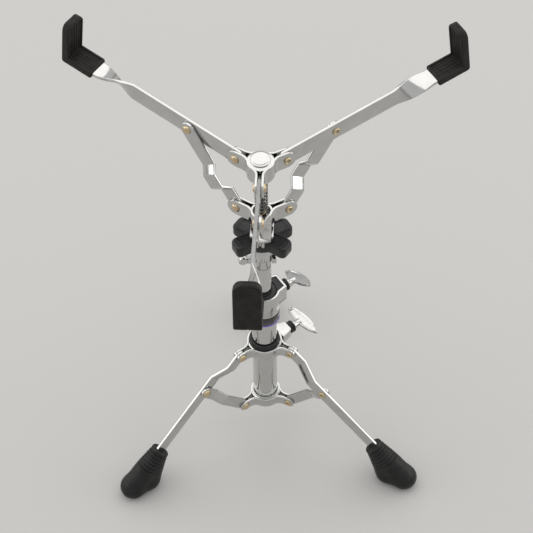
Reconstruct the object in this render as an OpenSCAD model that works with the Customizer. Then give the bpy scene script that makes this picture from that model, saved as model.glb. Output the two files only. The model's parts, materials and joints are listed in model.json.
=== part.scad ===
// Folding snare drum stand: three-legged base, height tube, tilter and a three-armed basket.
// Millimetres, +Z up, origin on the floor under the column's axis.
// Legs stand at 90, 210 and 330 degrees; the basket swivels freely and rests a little turned.

/* [Base tube] */
// Outer diameter of the base tube
base_d = 25.4; // [24:0.1:28]
// Wall of the base tube
base_wall = 1.5; // [1.2:0.1:2]
// Length of the base tube
base_len = 179; // [175:1:190]
// How far the base tube reaches below the middle of the lower bracket
base_below = 8; // [7:0.5:12]

/* [Legs] */
// Angle of the legs below the horizontal
leg_angle = 45; // [42:0.5:48]
// Length from the collar pivot to the centre of the round foot end
leg_len = 191.5; // [188:0.5:196]
// Thickness of the leg bar
leg_t = 3; // [2.5:0.1:3.5]
// Height of the leg bar
leg_h = 12.5; // [11:0.5:14]
// Sideways offset of the leg's outer run from the radial plane
leg_offset = 9; // [8:0.5:10]
// Distance from the collar pivot to the start of the leg's side bend
leg_bend_from = 17; // [15:0.5:19]
// Distance from the collar pivot to the end of the leg's side bend
leg_bend_to = 38; // [36:0.5:40]
// Distance from the collar pivot to the brace rivet
leg_rivet_at = 56; // [54:0.5:58]

/* [Braces] */
// Thickness of the brace strip
brace_t = 2.5; // [2:0.1:3]
// Height of the brace strip
brace_h = 12.5; // [11:0.5:13.5]
// Distance from the leg rivet to the outer end of the brace's side bend
brace_bend_near = 14; // [13:0.5:16]
// Distance from the leg rivet to the inner end of the brace's side bend
brace_bend_far = 28; // [26:0.5:30]

/* [Brackets] */
// Height of the leg collar and the lower bracket
bracket_h = 12; // [11:0.5:14]
// Thickness of the pressed bracket strip
strip_t = 2.4; // [2:0.1:3]
// Radius of the sweep where a strip leaves the ring
strip_sweep = 9; // [8:0.5:10]
// Radius of the collar's leg pivots
collar_pivot_r = 30; // [29:0.5:32]
// Radius of the lower bracket's brace pivots
lower_pivot_r = 28; // [27:0.5:30]
// Distance between the collar's pivots and the lower bracket's pivots
bracket_drop = 88; // [86:0.5:90]
// Wall of the collar's plastic bush
collar_bush_wall = 2.95; // [2.5:0.05:3.5]
// How far the collar's bush stands above the ring
collar_bush_rise = 5; // [3:0.5:7]
// Distance from the column's axis to the flat end of the collar's nose
collar_nose_r = 30; // [29:0.5:32]
// Width of the flat end of the collar's nose
collar_nose_w = 12; // [11:0.5:13]
// Azimuth of the collar's wing bolt
collar_nose_az = 31; // [29:1:33]
// Roll of the collar's wing about its bolt at rest
collar_wing_roll = 8; // [0:1:30]

/* [Height clamp] */
// Height of the chrome clamp band
clamp_h = 28; // [24:1:32]
// Thickness of the clamp band
clamp_t = 2; // [1.5:0.1:2.5]
// Wall of the plastic sleeve between base tube and clamp band
sleeve_wall = 1.3; // [1:0.1:2]
// Height of the sleeve's skirt below the band
skirt_h = 13.5; // [10:0.5:16]
// How far the band stands above the end of the base tube
clamp_rise = 4; // [3:0.5:6]
// Distance from the column's axis to the flat end of the clamp's nose
clamp_nose_r = 21.5; // [21:0.5:23]
// Azimuth of the clamp's wing bolt
clamp_nose_az = 27.5; // [26:0.5:30]
// Roll of the clamp's wing about its bolt at rest
clamp_wing_roll = 27; // [0:1:30]
// Width of the flat end of the clamp's nose, inside the band
clamp_nose_w = 14; // [13:0.5:15]
// Height of the clamp's nose below the band's upper rim
nose_h = 20; // [17:1:24]
// Thickness of the printed ring round the skirt
label_t = 0.4; // [0.3:0.1:0.6]
// Length of the bush inside the base tube
bush_len = 38; // [30:1:45]

/* [Height tube] */
// Outer diameter of the height tube
tube_d = 16; // [15:0.1:17]
// Wall of the height tube
tube_wall = 1.2; // [1:0.1:1.6]
// Length of the height tube
tube_len = 149; // [146:1:160]
// Height of the tube's upper end over the end of the base tube
tube_rise = 42; // [40:0.5:50]

/* [Tilter] */
// Distance from the tube's end to the tilting axis
tilter_rise = 8.6; // [8.4:0.1:10]
// Thickness of the tilter's tongue
tongue_t = 6; // [5:0.2:7]
// Height of the tilter's head above the tilting axis
head_rise = 18; // [17:0.5:20]
// Diameter of the tilter's bolt
tilt_bolt_d = 5; // [4:0.2:6]

/* [Basket] */
// Rest turn of the basket on the column
basket_turn = -7.5; // [-15:0.5:15]
// Height of the spider's pivots over the tilting axis
spider_rise = 61; // [60:0.5:62]
// Height of the arm pivots over the spider's pivots
hub_rise = 66; // [65:0.5:67]
// Radius of the arm pivots on the hub
hub_pivot_r = 25; // [24:0.5:26]
// Radius of the strut pivots on the spider
spider_pivot_r = 26.5; // [25:0.5:28]
// Height of the hub's and the spider's strips
basket_strip_h = 18; // [16:0.5:19]
// Radius of the hub's disc
hub_disc_r = 12.8; // [12:0.1:13.5]
// Radius of the hub's raised cap
hub_cap_r = 9.3; // [8.5:0.1:10]
// Inner radius of the spider's ring
spider_ring_r = 8; // [7.6:0.1:8.5]
// Diameter of the thrust nut under the spider
thrust_nut_d = 8.6; // [8.2:0.2:9.4]
// Width of the yoke that holds the thrust nut
yoke_w = 22; // [20:1:24]
// Length of the yoke that holds the thrust nut
yoke_len = 24; // [22:1:26]
// Diameter of the basket rod
rod_d = 6; // [5.6:0.2:7]

/* [Basket arms] */
// Angle of the arms above the horizontal
arm_angle = 12; // [11:0.5:14]
// Thickness of the arm bar
arm_t = 3.2; // [2.8:0.1:3.5]
// Height of the arm bar
arm_h = 18; // [16:0.5:19]
// Distance from the arm's pivot to its upturned tip
arm_len = 185.5; // [180:0.5:190]
// Length of the quarter twist
twist_len = 33; // [28:1:36]
// Distance from the end of the quarter twist to the upturned tip
twist_back = 36; // [34:1:42]
// Height of the upturned tip inside the pad
tip_h = 36; // [30:1:38]
// Lean of the upturned tip away from the square corner
tip_lean = 3; // [2:1:8]

/* [Struts] */
// Thickness of the strut strip
strut_t = 2.8; // [2.4:0.1:3]
// Width of the strut strip
strut_w = 15; // [13:0.5:16]
// Distance from the arm's pivot to the strut rivet
arm_rivet_at = 52; // [51:0.5:53]
// Sideways step that carries the strut past the hub's ears
strut_step = 6.4; // [6:0.2:7]
// Distance from the arm rivet to the start of the outward step
strut_step_from = 40; // [38:0.5:42]
// Length of the outward step
strut_step_len = 8; // [7:0.5:11]
// Distance from the arm rivet to the start of the return step
strut_back_from = 62; // [60:0.5:64]
// Length of the return step
strut_back_len = 9; // [8:0.5:11]

/* [Pads and feet] */
// Width of a rubber arm pad
pad_w = 23; // [22.5:0.5:26]
// Length of the pad's ledge
pad_ledge = 33; // [30:1:36]
// Height of the pad's upright
pad_up = 48; // [44:1:52]
// Thickness of the pad's upright
pad_up_t = 7.5; // [7:0.5:10]
// Thickness of the pad's ledge
pad_ledge_t = 7.5; // [7:0.5:9]
// Radius of the round foot end
foot_r = 12.5; // [12:0.5:13.5]
// Height of the round foot end's centre over the floor
foot_rise = 11.3; // [10.5:0.1:11.8]
// Length of the foot's level toe behind the centre of its round end
toe_len = 18; // [14:0.5:20]
// Length of the foot from its upper rim to the centre of its round end
foot_len = 52; // [50:1:56]
// Radius of the foot's upper rim
foot_top_r = 9; // [8.5:0.5:10]
// Number of grooves round the foot's upper half
foot_ribs = 6; // [4:1:7]

/* [Knob, bolts and rivets] */
// Reach of the basket knob's lobes
knob_r = 30; // [27:0.5:32]
// Thickness of the basket knob's lobes
knob_h = 13; // [12:0.1:13.5]
// Height of the knob's boss under its lobes
knob_boss_h = 5.5; // [4:0.1:6]
// Width of a knob lobe
lobe_w = 16; // [14:0.5:17]
// Angle of the knob's lobes to its long axis
lobe_az = 31; // [28:1:34]
// Diameter of the wing bolts' shank
bolt_d = 6; // [5:0.5:7]
// Length of a wing's leaf
wing_len = 53; // [48:1:54]
// Width of a wing's leaf
wing_w = 13.5; // [12:0.5:15]
// Thickness of a wing's leaf
wing_t = 2.6; // [2:0.2:3.4]
// Thickness of the wing bolts' plastic washers
washer_t = 6; // [4:0.5:7]
// Diameter of a rivet's shank
rivet_d = 5; // [4.4:0.2:5.6]
// Diameter of a rivet's head
rivet_head_d = 8; // [7:0.2:8.6]
// Height of a rivet's domed head
rivet_head_h = 2.4; // [2:0.1:2.8]

/* [Hidden] */
$fn = 64;

chrome = [0.80, 0.81, 0.82];
zinc = [0.72, 0.62, 0.42];
black = [0.10, 0.10, 0.11];
rubber = [0.16, 0.16, 0.16];

// Clearances
slide_gap = 0.05;   // radial, a shaft or tube that runs in a bore
side_gap = 0.3;     // between flat bars that swing past each other
ear_gap = 0.15;     // each side of a bar between two ears

// Azimuths of the three legs and of the three basket arms
rear_az = 90;
front_left_az = 210;
front_right_az = 330;
left_az = 150 + basket_turn;
front_az = 270 + basket_turn;
right_az = 30 + basket_turn;

// Heights on the column
collar_z = foot_rise + leg_len * sin(leg_angle);
lower_z = collar_z - bracket_drop;
base_z0 = lower_z - base_below;
base_z1 = base_z0 + base_len;
clamp_z1 = base_z1 + clamp_rise;
clamp_z0 = clamp_z1 - clamp_h;
clamp_bolt_z = clamp_z1 - nose_h / 2;
tube_z1 = base_z1 + tube_rise;
tube_z0 = tube_z1 - tube_len;
tilt_z = tube_z1 + tilter_rise;
head_z1 = tilt_z + head_rise;
spider_z = tilt_z + spider_rise;
hub_z = spider_z + hub_rise;

// Radii on the column
base_r = base_d / 2;
bore_r = base_r - base_wall;
tube_r = tube_d / 2;
rod_r = rod_d / 2;
collar_ring_in = base_r + slide_gap + collar_bush_wall;
lower_sleeve_t = 0.9;
lower_ring_in = base_r + lower_sleeve_t;
sleeve_r = base_r + sleeve_wall;
clamp_out_r = sleeve_r + clamp_t;

// The leg and brace triangle, seen from the side
leg_knee_r = collar_pivot_r + leg_rivet_at * cos(leg_angle);
leg_knee_z = collar_z - leg_rivet_at * sin(leg_angle);
brace_rise = leg_knee_z - lower_z;
brace_run = leg_knee_r - lower_pivot_r;
brace_len = sqrt(brace_rise * brace_rise + brace_run * brace_run);
brace_angle = atan2(brace_rise, brace_run);
brace_outer_y = -leg_offset + leg_t / 2 + side_gap + brace_t / 2;

// The arm and strut triangle, seen from the side
arm_knee_r = hub_pivot_r + arm_rivet_at * cos(arm_angle);
arm_knee_z = hub_z + arm_rivet_at * sin(arm_angle);
strut_rise = arm_knee_z - spider_z;
strut_run = arm_knee_r - spider_pivot_r;
strut_len = sqrt(strut_rise * strut_rise + strut_run * strut_run);
strut_angle = atan2(strut_rise, strut_run);
strut_outer_y = arm_t / 2 + side_gap + strut_t / 2;
strut_mid_y = strut_outer_y + strut_step;

// Rivets
rivet_r = rivet_d / 2;
head_r = rivet_head_d / 2;
eyelet_h = 1.6;
eyelet_hole_r = 1.5;

// Arms and pads
twist_from = arm_len - twist_back - twist_len;
pad_corner = arm_len + (pad_up_t - arm_t) / 2;

// ---------------------------------------------------------------- helpers

// Places its children at an azimuth, with X outward and Y counterclockwise
module at_azimuth(az) rotate([0, 0, az]) children();

// A flat tube: the space between two circles
module annulus(r_in, r_out) {
    difference() {
        circle(r = r_out);
        circle(r = r_in);
    }
}

module tube(r_in, r_out, h) {
    linear_extrude(h) annulus(r_in, r_out);
}

// Plan outline of a strip of the given thickness along straight runs, mitred at its bends
function run_dir(p, i) = (p[i + 1] - p[i]) / norm(p[i + 1] - p[i]);
function left_of(d) = [-d[1], d[0]];
function mitre(p, i) =
    let (n = len(p) - 1,
         a = left_of(run_dir(p, max(i - 1, 0))),
         b = left_of(run_dir(p, min(i, n - 1))),
         m = (a + b) / norm(a + b))
    m / (m * a);
function strip_outline(p, t) = concat(
    [for (i = [0 : len(p) - 1]) p[i] + mitre(p, i) * t / 2],
    [for (i = [len(p) - 1 : -1 : 0]) p[i] - mitre(p, i) * t / 2]);

// Side view of a bar with two round ends
module stadium(x0, x1, h) {
    translate([x0, -h / 2]) square([x1 - x0, h]);
    translate([x0, 0]) circle(d = h);
    translate([x1, 0]) circle(d = h);
}

// A bar on edge: bent in plan along the points p, with round ends about x0 and x1 in side view
module edge_bar(p, t, h, x0, x1) {
    intersection() {
        translate([0, 0, -h / 2]) linear_extrude(h) polygon(strip_outline(p, t));
        rotate([90, 0, 0]) linear_extrude(100, center = true) stadium(x0, x1, h);
    }
}

// A bore across a bar at x
module cross_bore(x, r) {
    translate([x, 0, 0]) rotate([90, 0, 0]) cylinder(r = r, h = 100, center = true);
}

// One side of an ear pair in plan: a straight plate and the sweep that joins it to the ring
sweep_bite = 0.05;   // how far the sweep's inner face reaches into the ring
ear_short = 0.5;     // the plate stops this far before the pivot, inside its round end

module ear_side(ring_r, gap, end_r) {
    outer_y = gap / 2 + strip_t;
    sweep_y = outer_y + strip_sweep;
    sweep_d = ring_r + strip_sweep - sweep_bite;
    sweep_x = sqrt(pow(sweep_d, 2) - pow(sweep_y, 2));
    foot_x = sweep_x * ring_r / sweep_d;
    foot_y = sweep_y * ring_r / sweep_d;
    translate([sweep_x, gap / 2]) square([end_r - ear_short - sweep_x, strip_t]);
    intersection() {
        translate([sweep_x, sweep_y]) annulus(strip_sweep, strip_sweep + strip_t);
        polygon([[sweep_x, sweep_y], [sweep_x, 0], [foot_x * 0.8, foot_y * 0.8]]);
    }
}

// Plan of a three-armed bracket: a ring, three pairs of ears, and its children outside the bore
module star_plan(ring_in, gap, pivot_r) difference() {
    union() {
        circle(r = ring_in + strip_t);
        for (az = [90, 210, 330], side = [0, 1])
            rotate(az) mirror([0, side]) ear_side(ring_in + strip_t, gap, pivot_r);
        children();
    }
    circle(r = ring_in);
}

// A three-armed bracket of pressed strips; its ears end round about the pivots
module star_bracket(ring_in, h, gap, pivot_r) difference() {
    union() {
        translate([0, 0, -h / 2]) linear_extrude(h) star_plan(ring_in, gap, pivot_r) children();
        for (az = [90, 210, 330], side = [0, 1]) at_azimuth(az) mirror([0, side, 0])
            translate([pivot_r, gap / 2 + strip_t, 0]) rotate([90, 0, 0])
                cylinder(r = h / 2, h = strip_t);
    }
    for (az = [90, 210, 330]) at_azimuth(az) cross_bore(pivot_r, rivet_r);
}

// A domed rivet head that stands on the plane y = 0 and points along +Y
module dome_head() {
    dome_r = (head_r * head_r + rivet_head_h * rivet_head_h) / (2 * rivet_head_h);
    rotate([-90, 0, 0]) rotate_extrude() intersection() {
        translate([0, rivet_head_h - dome_r]) circle(r = dome_r);
        square([head_r, rivet_head_h]);
    }
}

// The rolled hollow end of a rivet, on the plane y = 0 and pointing along -Y
module rolled_end() {
    roll_r = (head_r - 0.6 - eyelet_hole_r) / 2;
    rotate([90, 0, 0]) rotate_extrude() {
        translate([eyelet_hole_r, 0]) square([rivet_r - eyelet_hole_r, eyelet_h / 2]);
        intersection() {
            translate([eyelet_hole_r + roll_r, 0]) circle(r = roll_r);
            translate([eyelet_hole_r, 0]) square([2 * roll_r, eyelet_h]);
        }
    }
}

// A rivet across an ear pair of the given total width
module ear_rivet(width) {
    translate([0, width / 2, 0]) dome_head();
    translate([0, -width / 2, 0]) rolled_end();
    rotate([90, 0, 0]) difference() {
        cylinder(r = rivet_r, h = width, center = true);
        translate([0, 0, width / 2 - 3]) cylinder(r = eyelet_hole_r, h = 4);
    }
}

module ear_rivets(pivot_r, gap) {
    for (az = [90, 210, 330]) at_azimuth(az)
        translate([pivot_r, 0, 0]) ear_rivet(gap + 2 * strip_t);
}

// Plan outline of a clamp's nose: flat end, sides that meet the ring
module nose_outline(ring_r, nose_r, w) {
    polygon([[0, -ring_r * 0.86], [nose_r, -w / 2], [nose_r, w / 2], [0, ring_r * 0.86]]);
}

wing_neck = 7;
wing_hole_r = 1.5;

// A wing bolt along +X: its shank starts at x = shank_from, its washer's face is at x = seat
module wing_bolt(seat, shank_from, d, roll) {
    leaf_x = seat + washer_t + wing_neck + wing_w / 2 - 1;
    lens_r = (wing_len * wing_len + wing_w * wing_w) / (4 * wing_w);
    translate([shank_from, 0, 0]) rotate([0, 90, 0])
        cylinder(r = d / 2, h = seat + washer_t - shank_from);
    translate([seat + washer_t, 0, 0]) rotate([0, 90, 0])
        cylinder(r1 = d * 0.85, r2 = d * 0.55, h = wing_neck + 2);
    rotate([-roll, 0, 0]) translate([leaf_x, 0, -wing_t / 2]) difference() {
        linear_extrude(wing_t) intersection() {
            translate([lens_r - wing_w / 2, 0]) circle(r = lens_r);
            translate([wing_w / 2 - lens_r, 0]) circle(r = lens_r);
            square([wing_w, wing_len - 3], center = true);
        }
        translate([0, wing_len / 2 - 5, -1]) cylinder(r = wing_hole_r, h = wing_t + 2);
    }
}

module washer(seat, d) {
    translate([seat, 0, 0]) rotate([0, 90, 0])
        linear_extrude(washer_t) annulus(d / 2 + slide_gap, d / 2 + 3.4);
}

// ---------------------------------------------------------------- base

module base_tube() color(chrome)
    translate([0, 0, base_z0]) tube(bore_r, base_r, base_len);

module lower_bracket() color(chrome) translate([0, 0, lower_z]) {
    star_bracket(lower_ring_in, bracket_h, brace_t + 2 * ear_gap, lower_pivot_r);
    translate([0, 0, -bracket_h / 2]) tube(base_r, lower_ring_in + strip_t / 2, bracket_h);
    translate([0, 0, bracket_h / 2]) tube(base_r, lower_ring_in, 1.5);
}

module lower_rivets() color(zinc)
    translate([0, 0, lower_z]) ear_rivets(lower_pivot_r, brace_t + 2 * ear_gap);

// The collar's nose is filled and drilled for its wing bolt
module leg_collar() color(chrome) translate([0, 0, collar_z]) difference() {
    star_bracket(collar_ring_in, bracket_h, leg_t + 2 * ear_gap, collar_pivot_r)
        rotate(collar_nose_az)
            nose_outline(collar_ring_in + strip_t, collar_nose_r, collar_nose_w);
    at_azimuth(collar_nose_az) rotate([0, 90, 0]) cylinder(r = bolt_d / 2 + slide_gap, h = 60);
}

module collar_bush() color(black) translate([0, 0, collar_z]) difference() {
    translate([0, 0, -bracket_h / 2])
        tube(base_r + slide_gap, collar_ring_in, bracket_h + collar_bush_rise);
    at_azimuth(collar_nose_az) rotate([0, 90, 0]) cylinder(r = bolt_d / 2 + slide_gap, h = 60);
}

module collar_rivets() color(zinc)
    translate([0, 0, collar_z]) ear_rivets(collar_pivot_r, leg_t + 2 * ear_gap);

module collar_wing_bolt() color(chrome) translate([0, 0, collar_z])
    at_azimuth(collar_nose_az) wing_bolt(collar_nose_r, base_r + 0.3, bolt_d, collar_wing_roll);

module collar_washer() color(black) translate([0, 0, collar_z])
    at_azimuth(collar_nose_az) washer(collar_nose_r, bolt_d);

// ---------------------------------------------------------------- legs

// Frame of a leg: origin on its collar pivot, X down the leg
module leg_frame(az) at_azimuth(az) translate([collar_pivot_r, 0, collar_z])
    rotate([0, leg_angle, 0]) children();

leg_plan = [
    [-leg_h / 2, 0], [leg_bend_from, 0], [leg_bend_to, -leg_offset], [leg_len, -leg_offset]
];

module leg_bar() edge_bar(leg_plan, leg_t, leg_h, 0, leg_len - leg_h / 2);

module leg(az) color(chrome) leg_frame(az) difference() {
    leg_bar();
    cross_bore(0, rivet_r + slide_gap);
    cross_bore(leg_rivet_at, rivet_r);
}

// A foot: grooved sleeve above, smooth boot below, and a level toe with two round ends
groove_r = 1.2;
groove_pitch = 4;
boot_r = foot_r - 0.25;

function foot_radius(x) =
    foot_top_r + (boot_r - foot_top_r) * sin(90 * min(1, x / (foot_len * 0.7)));

module foot_section() {
    difference() {
        polygon(concat([[0, 0]],
            [for (x = [0 : foot_len / 12 : foot_len]) [x, foot_radius(x)]],
            [[foot_len, 0]]));
        for (i = [1 : foot_ribs])
            translate([i * groove_pitch, foot_radius(i * groove_pitch) + groove_r * 0.3])
                circle(r = groove_r);
    }
}

// The toe lies level, from under the leg's end back towards the column; X runs down the leg
module foot_toe() {
    rotate([0, -leg_angle, 0]) rotate([0, -90, 0]) rotate_extrude() intersection() {
        union() {
            circle(r = foot_r);
            translate([0, toe_len]) circle(r = foot_r);
            square([foot_r, toe_len]);
        }
        translate([0, -foot_r]) square([foot_r, toe_len + 2 * foot_r]);
    }
}

// A tapered skirt that fills the space between the sleeve's rim and the toe's back end
module foot_skirt() {
    start = foot_len - 3.5;
    back = [-toe_len * cos(leg_angle), -toe_len * sin(leg_angle)];
    run = start + back[0];
    translate([-start, 0, 0]) rotate([0, 90 + atan2(-back[1], run), 0])
        cylinder(r1 = foot_top_r - 0.4, r2 = foot_r - 0.5, h = norm([run, back[1]]));
}

// Half the side of the block under the floor that levels the feet
floor_cut = 2 * leg_len;

module foot(az) color(rubber) difference() {
    leg_frame(az) difference() {
        translate([leg_len, -leg_offset, 0]) {
            translate([-foot_len, 0, 0]) rotate([0, 90, 0]) rotate_extrude()
                rotate(90) mirror([0, 1]) foot_section();
            foot_toe();
            foot_skirt();
        }
        leg_bar();
    }
    translate([-floor_cut, -floor_cut, -floor_cut]) cube([2 * floor_cut, 2 * floor_cut, floor_cut]);
}

module leg_eyelet(az) color(zinc) leg_frame(az)
    translate([leg_rivet_at, -leg_offset - leg_t / 2, 0]) {
        rolled_end();
        rotate([-90, 0, 0]) cylinder(r = rivet_r, h = leg_t);
    }

// Frame of a brace: origin on its bracket pivot, X up to the leg
module brace_frame(az) at_azimuth(az) translate([lower_pivot_r, 0, lower_z])
    rotate([0, -brace_angle, 0]) children();

brace_plan = [
    [-brace_h / 2, 0], [brace_len - brace_bend_far, 0],
    [brace_len - brace_bend_near, brace_outer_y], [brace_len + brace_h / 2, brace_outer_y]
];

module brace(az) color(chrome) brace_frame(az) difference() {
    edge_bar(brace_plan, brace_t, brace_h, 0, brace_len);
    cross_bore(0, rivet_r + slide_gap);
    cross_bore(brace_len, rivet_r);
}

module brace_rivet(az) color(zinc) brace_frame(az)
    translate([brace_len, brace_outer_y + brace_t / 2, 0]) {
        dome_head();
        rotate([90, 0, 0]) cylinder(r = rivet_r, h = brace_t);
    }

// ---------------------------------------------------------------- height clamp

module clamp_band() color(chrome) difference() {
    union() {
        translate([0, 0, clamp_z0]) cylinder(r = clamp_out_r, h = clamp_h);
        translate([0, 0, clamp_z1 - nose_h]) linear_extrude(nose_h)
            rotate(clamp_nose_az)
                nose_outline(clamp_out_r, clamp_nose_r, clamp_nose_w + 2 * clamp_t);
    }
    translate([0, 0, clamp_z0 - 1]) cylinder(r = sleeve_r, h = clamp_h + 2);
    translate([0, 0, clamp_z1 - nose_h - 1]) linear_extrude(nose_h + 2)
        rotate(clamp_nose_az) nose_outline(sleeve_r, clamp_nose_r - clamp_t, clamp_nose_w);
    at_azimuth(clamp_nose_az) translate([0, 0, clamp_bolt_z]) rotate([0, 90, 0])
        cylinder(r = bolt_d / 2 + slide_gap, h = 60);
}

// Plastic sleeve on the base tube: it fills the band and its nose, and ends in a skirt
module clamp_sleeve() color(black) difference() {
    union() {
        translate([0, 0, clamp_z0]) cylinder(r = sleeve_r, h = clamp_h - 1);
        translate([0, 0, clamp_z1 - nose_h]) linear_extrude(nose_h - 1)
            rotate(clamp_nose_az) nose_outline(sleeve_r, clamp_nose_r - clamp_t, clamp_nose_w);
        translate([0, 0, clamp_z0 - skirt_h]) cylinder(r = clamp_out_r - label_t, h = skirt_h);
    }
    translate([0, 0, clamp_z0 - skirt_h - 1]) cylinder(r = base_r, h = clamp_h + skirt_h);
    translate([0, 0, base_z1]) cylinder(r = base_r + 0.3, h = clamp_h);
    at_azimuth(clamp_nose_az) translate([0, 0, clamp_bolt_z]) rotate([0, 90, 0])
        cylinder(r = bolt_d / 2 + slide_gap, h = 60);
}

module label_band() color([0.25, 0.18, 0.55])
    translate([0, 0, clamp_z0 - skirt_h + 0.5]) tube(clamp_out_r - label_t, clamp_out_r, skirt_h - 1);

module clamp_wing_bolt() color(chrome) translate([0, 0, clamp_bolt_z])
    at_azimuth(clamp_nose_az) wing_bolt(clamp_nose_r, base_r + 0.3, bolt_d, clamp_wing_roll);

module clamp_washer() color(black) translate([0, 0, clamp_bolt_z])
    at_azimuth(clamp_nose_az) washer(clamp_nose_r, bolt_d);

// The bush turns in the base tube with the height tube, its flange on the tube's end
module height_bush() color(black) {
    translate([0, 0, base_z1 - bush_len]) tube(tube_r + slide_gap, bore_r - slide_gap, bush_len);
    translate([0, 0, base_z1]) tube(tube_r + slide_gap, base_r, 2.5);
}

// ---------------------------------------------------------------- height tube and tilter

module height_tube() color(chrome)
    translate([0, 0, tube_z0]) tube(tube_r - tube_wall, tube_r, tube_len);

// The tongue is narrower under its round top, so that the head clears it when tilted
tongue_half_w = tube_r - side_gap;

// Tongue side of the tilter: a plug in the tube's end, a round shoulder and the tongue
module tilter_base() color(chrome) difference() {
    union() {
        translate([0, 0, tube_z1 - 12]) cylinder(r = tube_r - tube_wall, h = 12);
        intersection() {
            translate([0, 0, tube_z1]) cylinder(r = tube_r, h = 2 * (tilter_rise + tube_r));
            translate([0, 0, tilt_z]) rotate([0, 90, 0])
                linear_extrude(tongue_t, center = true) {
                    circle(r = tube_r);
                    translate([0, -tongue_half_w]) square([tilter_rise, 2 * tongue_half_w]);
                }
        }
    }
    translate([0, 0, tilt_z]) rotate([0, 90, 0])
        cylinder(r = tilt_bolt_d / 2 + slide_gap, h = 4 * tube_r, center = true);
}

// Fork side of the tilter: two cheeks round the tongue under a solid head
module tilter_head() color(chrome) difference() {
    intersection() {
        translate([0, 0, tilt_z - tube_r]) cylinder(r = tube_r, h = tube_r + head_rise);
        translate([0, 0, tilt_z]) rotate([0, 90, 0]) linear_extrude(4 * tube_r, center = true) {
            circle(r = tube_r);
            translate([-head_rise, -tube_r]) square([head_rise, 2 * tube_r]);
        }
    }
    translate([0, 0, tilt_z]) rotate([0, 90, 0])
        linear_extrude(tongue_t + 2 * ear_gap, center = true) {
            circle(r = tube_r + side_gap);
            translate([0, -2 * tube_r]) square([2 * tube_r, 4 * tube_r]);
        }
    translate([0, 0, tilt_z]) rotate([0, 90, 0])
        cylinder(r = tilt_bolt_d / 2 + slide_gap, h = 4 * tube_r, center = true);
    translate([0, 0, head_z1 - 6]) cylinder(r = rod_r, h = 10);
}

tilt_seat = tube_r + side_gap;
tilt_leaf_w = 9;

// The tilter's own wing bolt points left; its nut closes the other cheek
module tilter_wing_bolt() color(chrome) translate([0, 0, tilt_z]) mirror([1, 0, 0]) {
    translate([-tube_r - 5, 0, 0]) rotate([0, 90, 0])
        cylinder(r = tilt_bolt_d / 2, h = 2 * tube_r + 8);
    translate([tilt_seat, 0, 0]) rotate([0, 90, 0]) cylinder(r1 = 5, r2 = 3.2, h = 7);
    translate([tilt_seat + 6, -tilt_leaf_w / 2, -3]) cube([9, tilt_leaf_w, 9]);
}

module tilter_nut() color(chrome) translate([tilt_seat, 0, tilt_z]) rotate([0, 90, 0])
    difference() {
        cylinder(r = 5.2, h = 4.6, $fn = 6);
        translate([0, 0, -1]) cylinder(r = tilt_bolt_d / 2 + slide_gap, h = 8);
    }

// ---------------------------------------------------------------- basket centre

spider_z0 = spider_z - basket_strip_h / 2;
hub_z1 = hub_z + basket_strip_h / 2;
spider_floor_t = 3;
hub_plate_t = 3;
cap_h = 2;
knob_z0 = head_z1 + 1;
knob_z1 = knob_z0 + knob_boss_h + knob_h;
knob_boss_r = 9.5;
knob_core_r = 15;
yoke_z0 = knob_z1 + 0.3;
yoke_h = 6.5;
yoke_floor = 2.5;
yoke_back = yoke_len - yoke_w / 2 + 1;
thrust_nut_r = thrust_nut_d / 2;
thrust_flange_r = thrust_nut_r + 1.6;
thrust_z1 = spider_z + 8;

module basket_rod() color([0.35, 0.35, 0.36])
    translate([0, 0, head_z1 - 6]) cylinder(r = rod_r, h = hub_z1 - hub_plate_t - head_z1 + 6);

module knob_lobes() {
    for (az = [lobe_az, 180 - lobe_az, 180 + lobe_az, -lobe_az]) rotate(az) {
        translate([0, -lobe_w / 2]) square([knob_r - lobe_w / 2, lobe_w]);
        translate([knob_r - lobe_w / 2, 0]) circle(d = lobe_w);
    }
    circle(r = knob_core_r);
}

module basket_knob() color(black) translate([0, 0, knob_z0]) difference() {
    union() {
        cylinder(r = knob_boss_r, h = knob_boss_h);
        translate([0, 0, knob_boss_h]) linear_extrude(knob_h) rotate(basket_turn) knob_lobes();
    }
    translate([0, 0, -1]) cylinder(r = rod_r + slide_gap, h = knob_boss_h + knob_h + 2);
}

// Chrome yoke on the knob: a tray, open to the back, that holds the thrust nut
module nut_yoke() color(chrome) rotate(basket_turn) translate([0, 0, yoke_z0]) difference() {
    translate([-yoke_w / 2, yoke_back - yoke_len, 0]) cube([yoke_w, yoke_len, yoke_h]);
    translate([-thrust_nut_r - 1.2, -thrust_nut_r + 0.5, yoke_floor])
        cube([2 * thrust_nut_r + 2.4, yoke_len, yoke_h]);
    translate([0, 0, -1]) cylinder(r = rod_r + slide_gap, h = yoke_floor + 2);
    translate([0, 0, yoke_floor]) cylinder(r = thrust_nut_r, h = yoke_h);
}

module thrust_nut() color(zinc) difference() {
    union() {
        translate([0, 0, yoke_z0 + yoke_floor])
            cylinder(r = thrust_nut_r, h = thrust_z1 - yoke_z0 - yoke_floor);
        translate([0, 0, spider_z0 - 3]) cylinder(r = thrust_flange_r, h = 3);
    }
    translate([0, 0, yoke_z0]) cylinder(r = rod_r + slide_gap, h = 60);
}

module spider() color(chrome) translate([0, 0, spider_z]) {
    rotate(front_az - rear_az) star_bracket(spider_ring_r, basket_strip_h, strut_t + 2 * ear_gap,
        spider_pivot_r);
    translate([0, 0, -basket_strip_h / 2]) tube(thrust_nut_r, spider_ring_r + strip_t / 2, spider_floor_t);
}

module spider_rivets() color(zinc) translate([0, 0, spider_z]) rotate(front_az - rear_az)
    ear_rivets(spider_pivot_r, strut_t + 2 * ear_gap);

spring_r = 5.4;
spring_wire_r = 0.8;
spring_z0 = thrust_z1;
spring_z1 = hub_z1 - hub_plate_t - 0.3;

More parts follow.
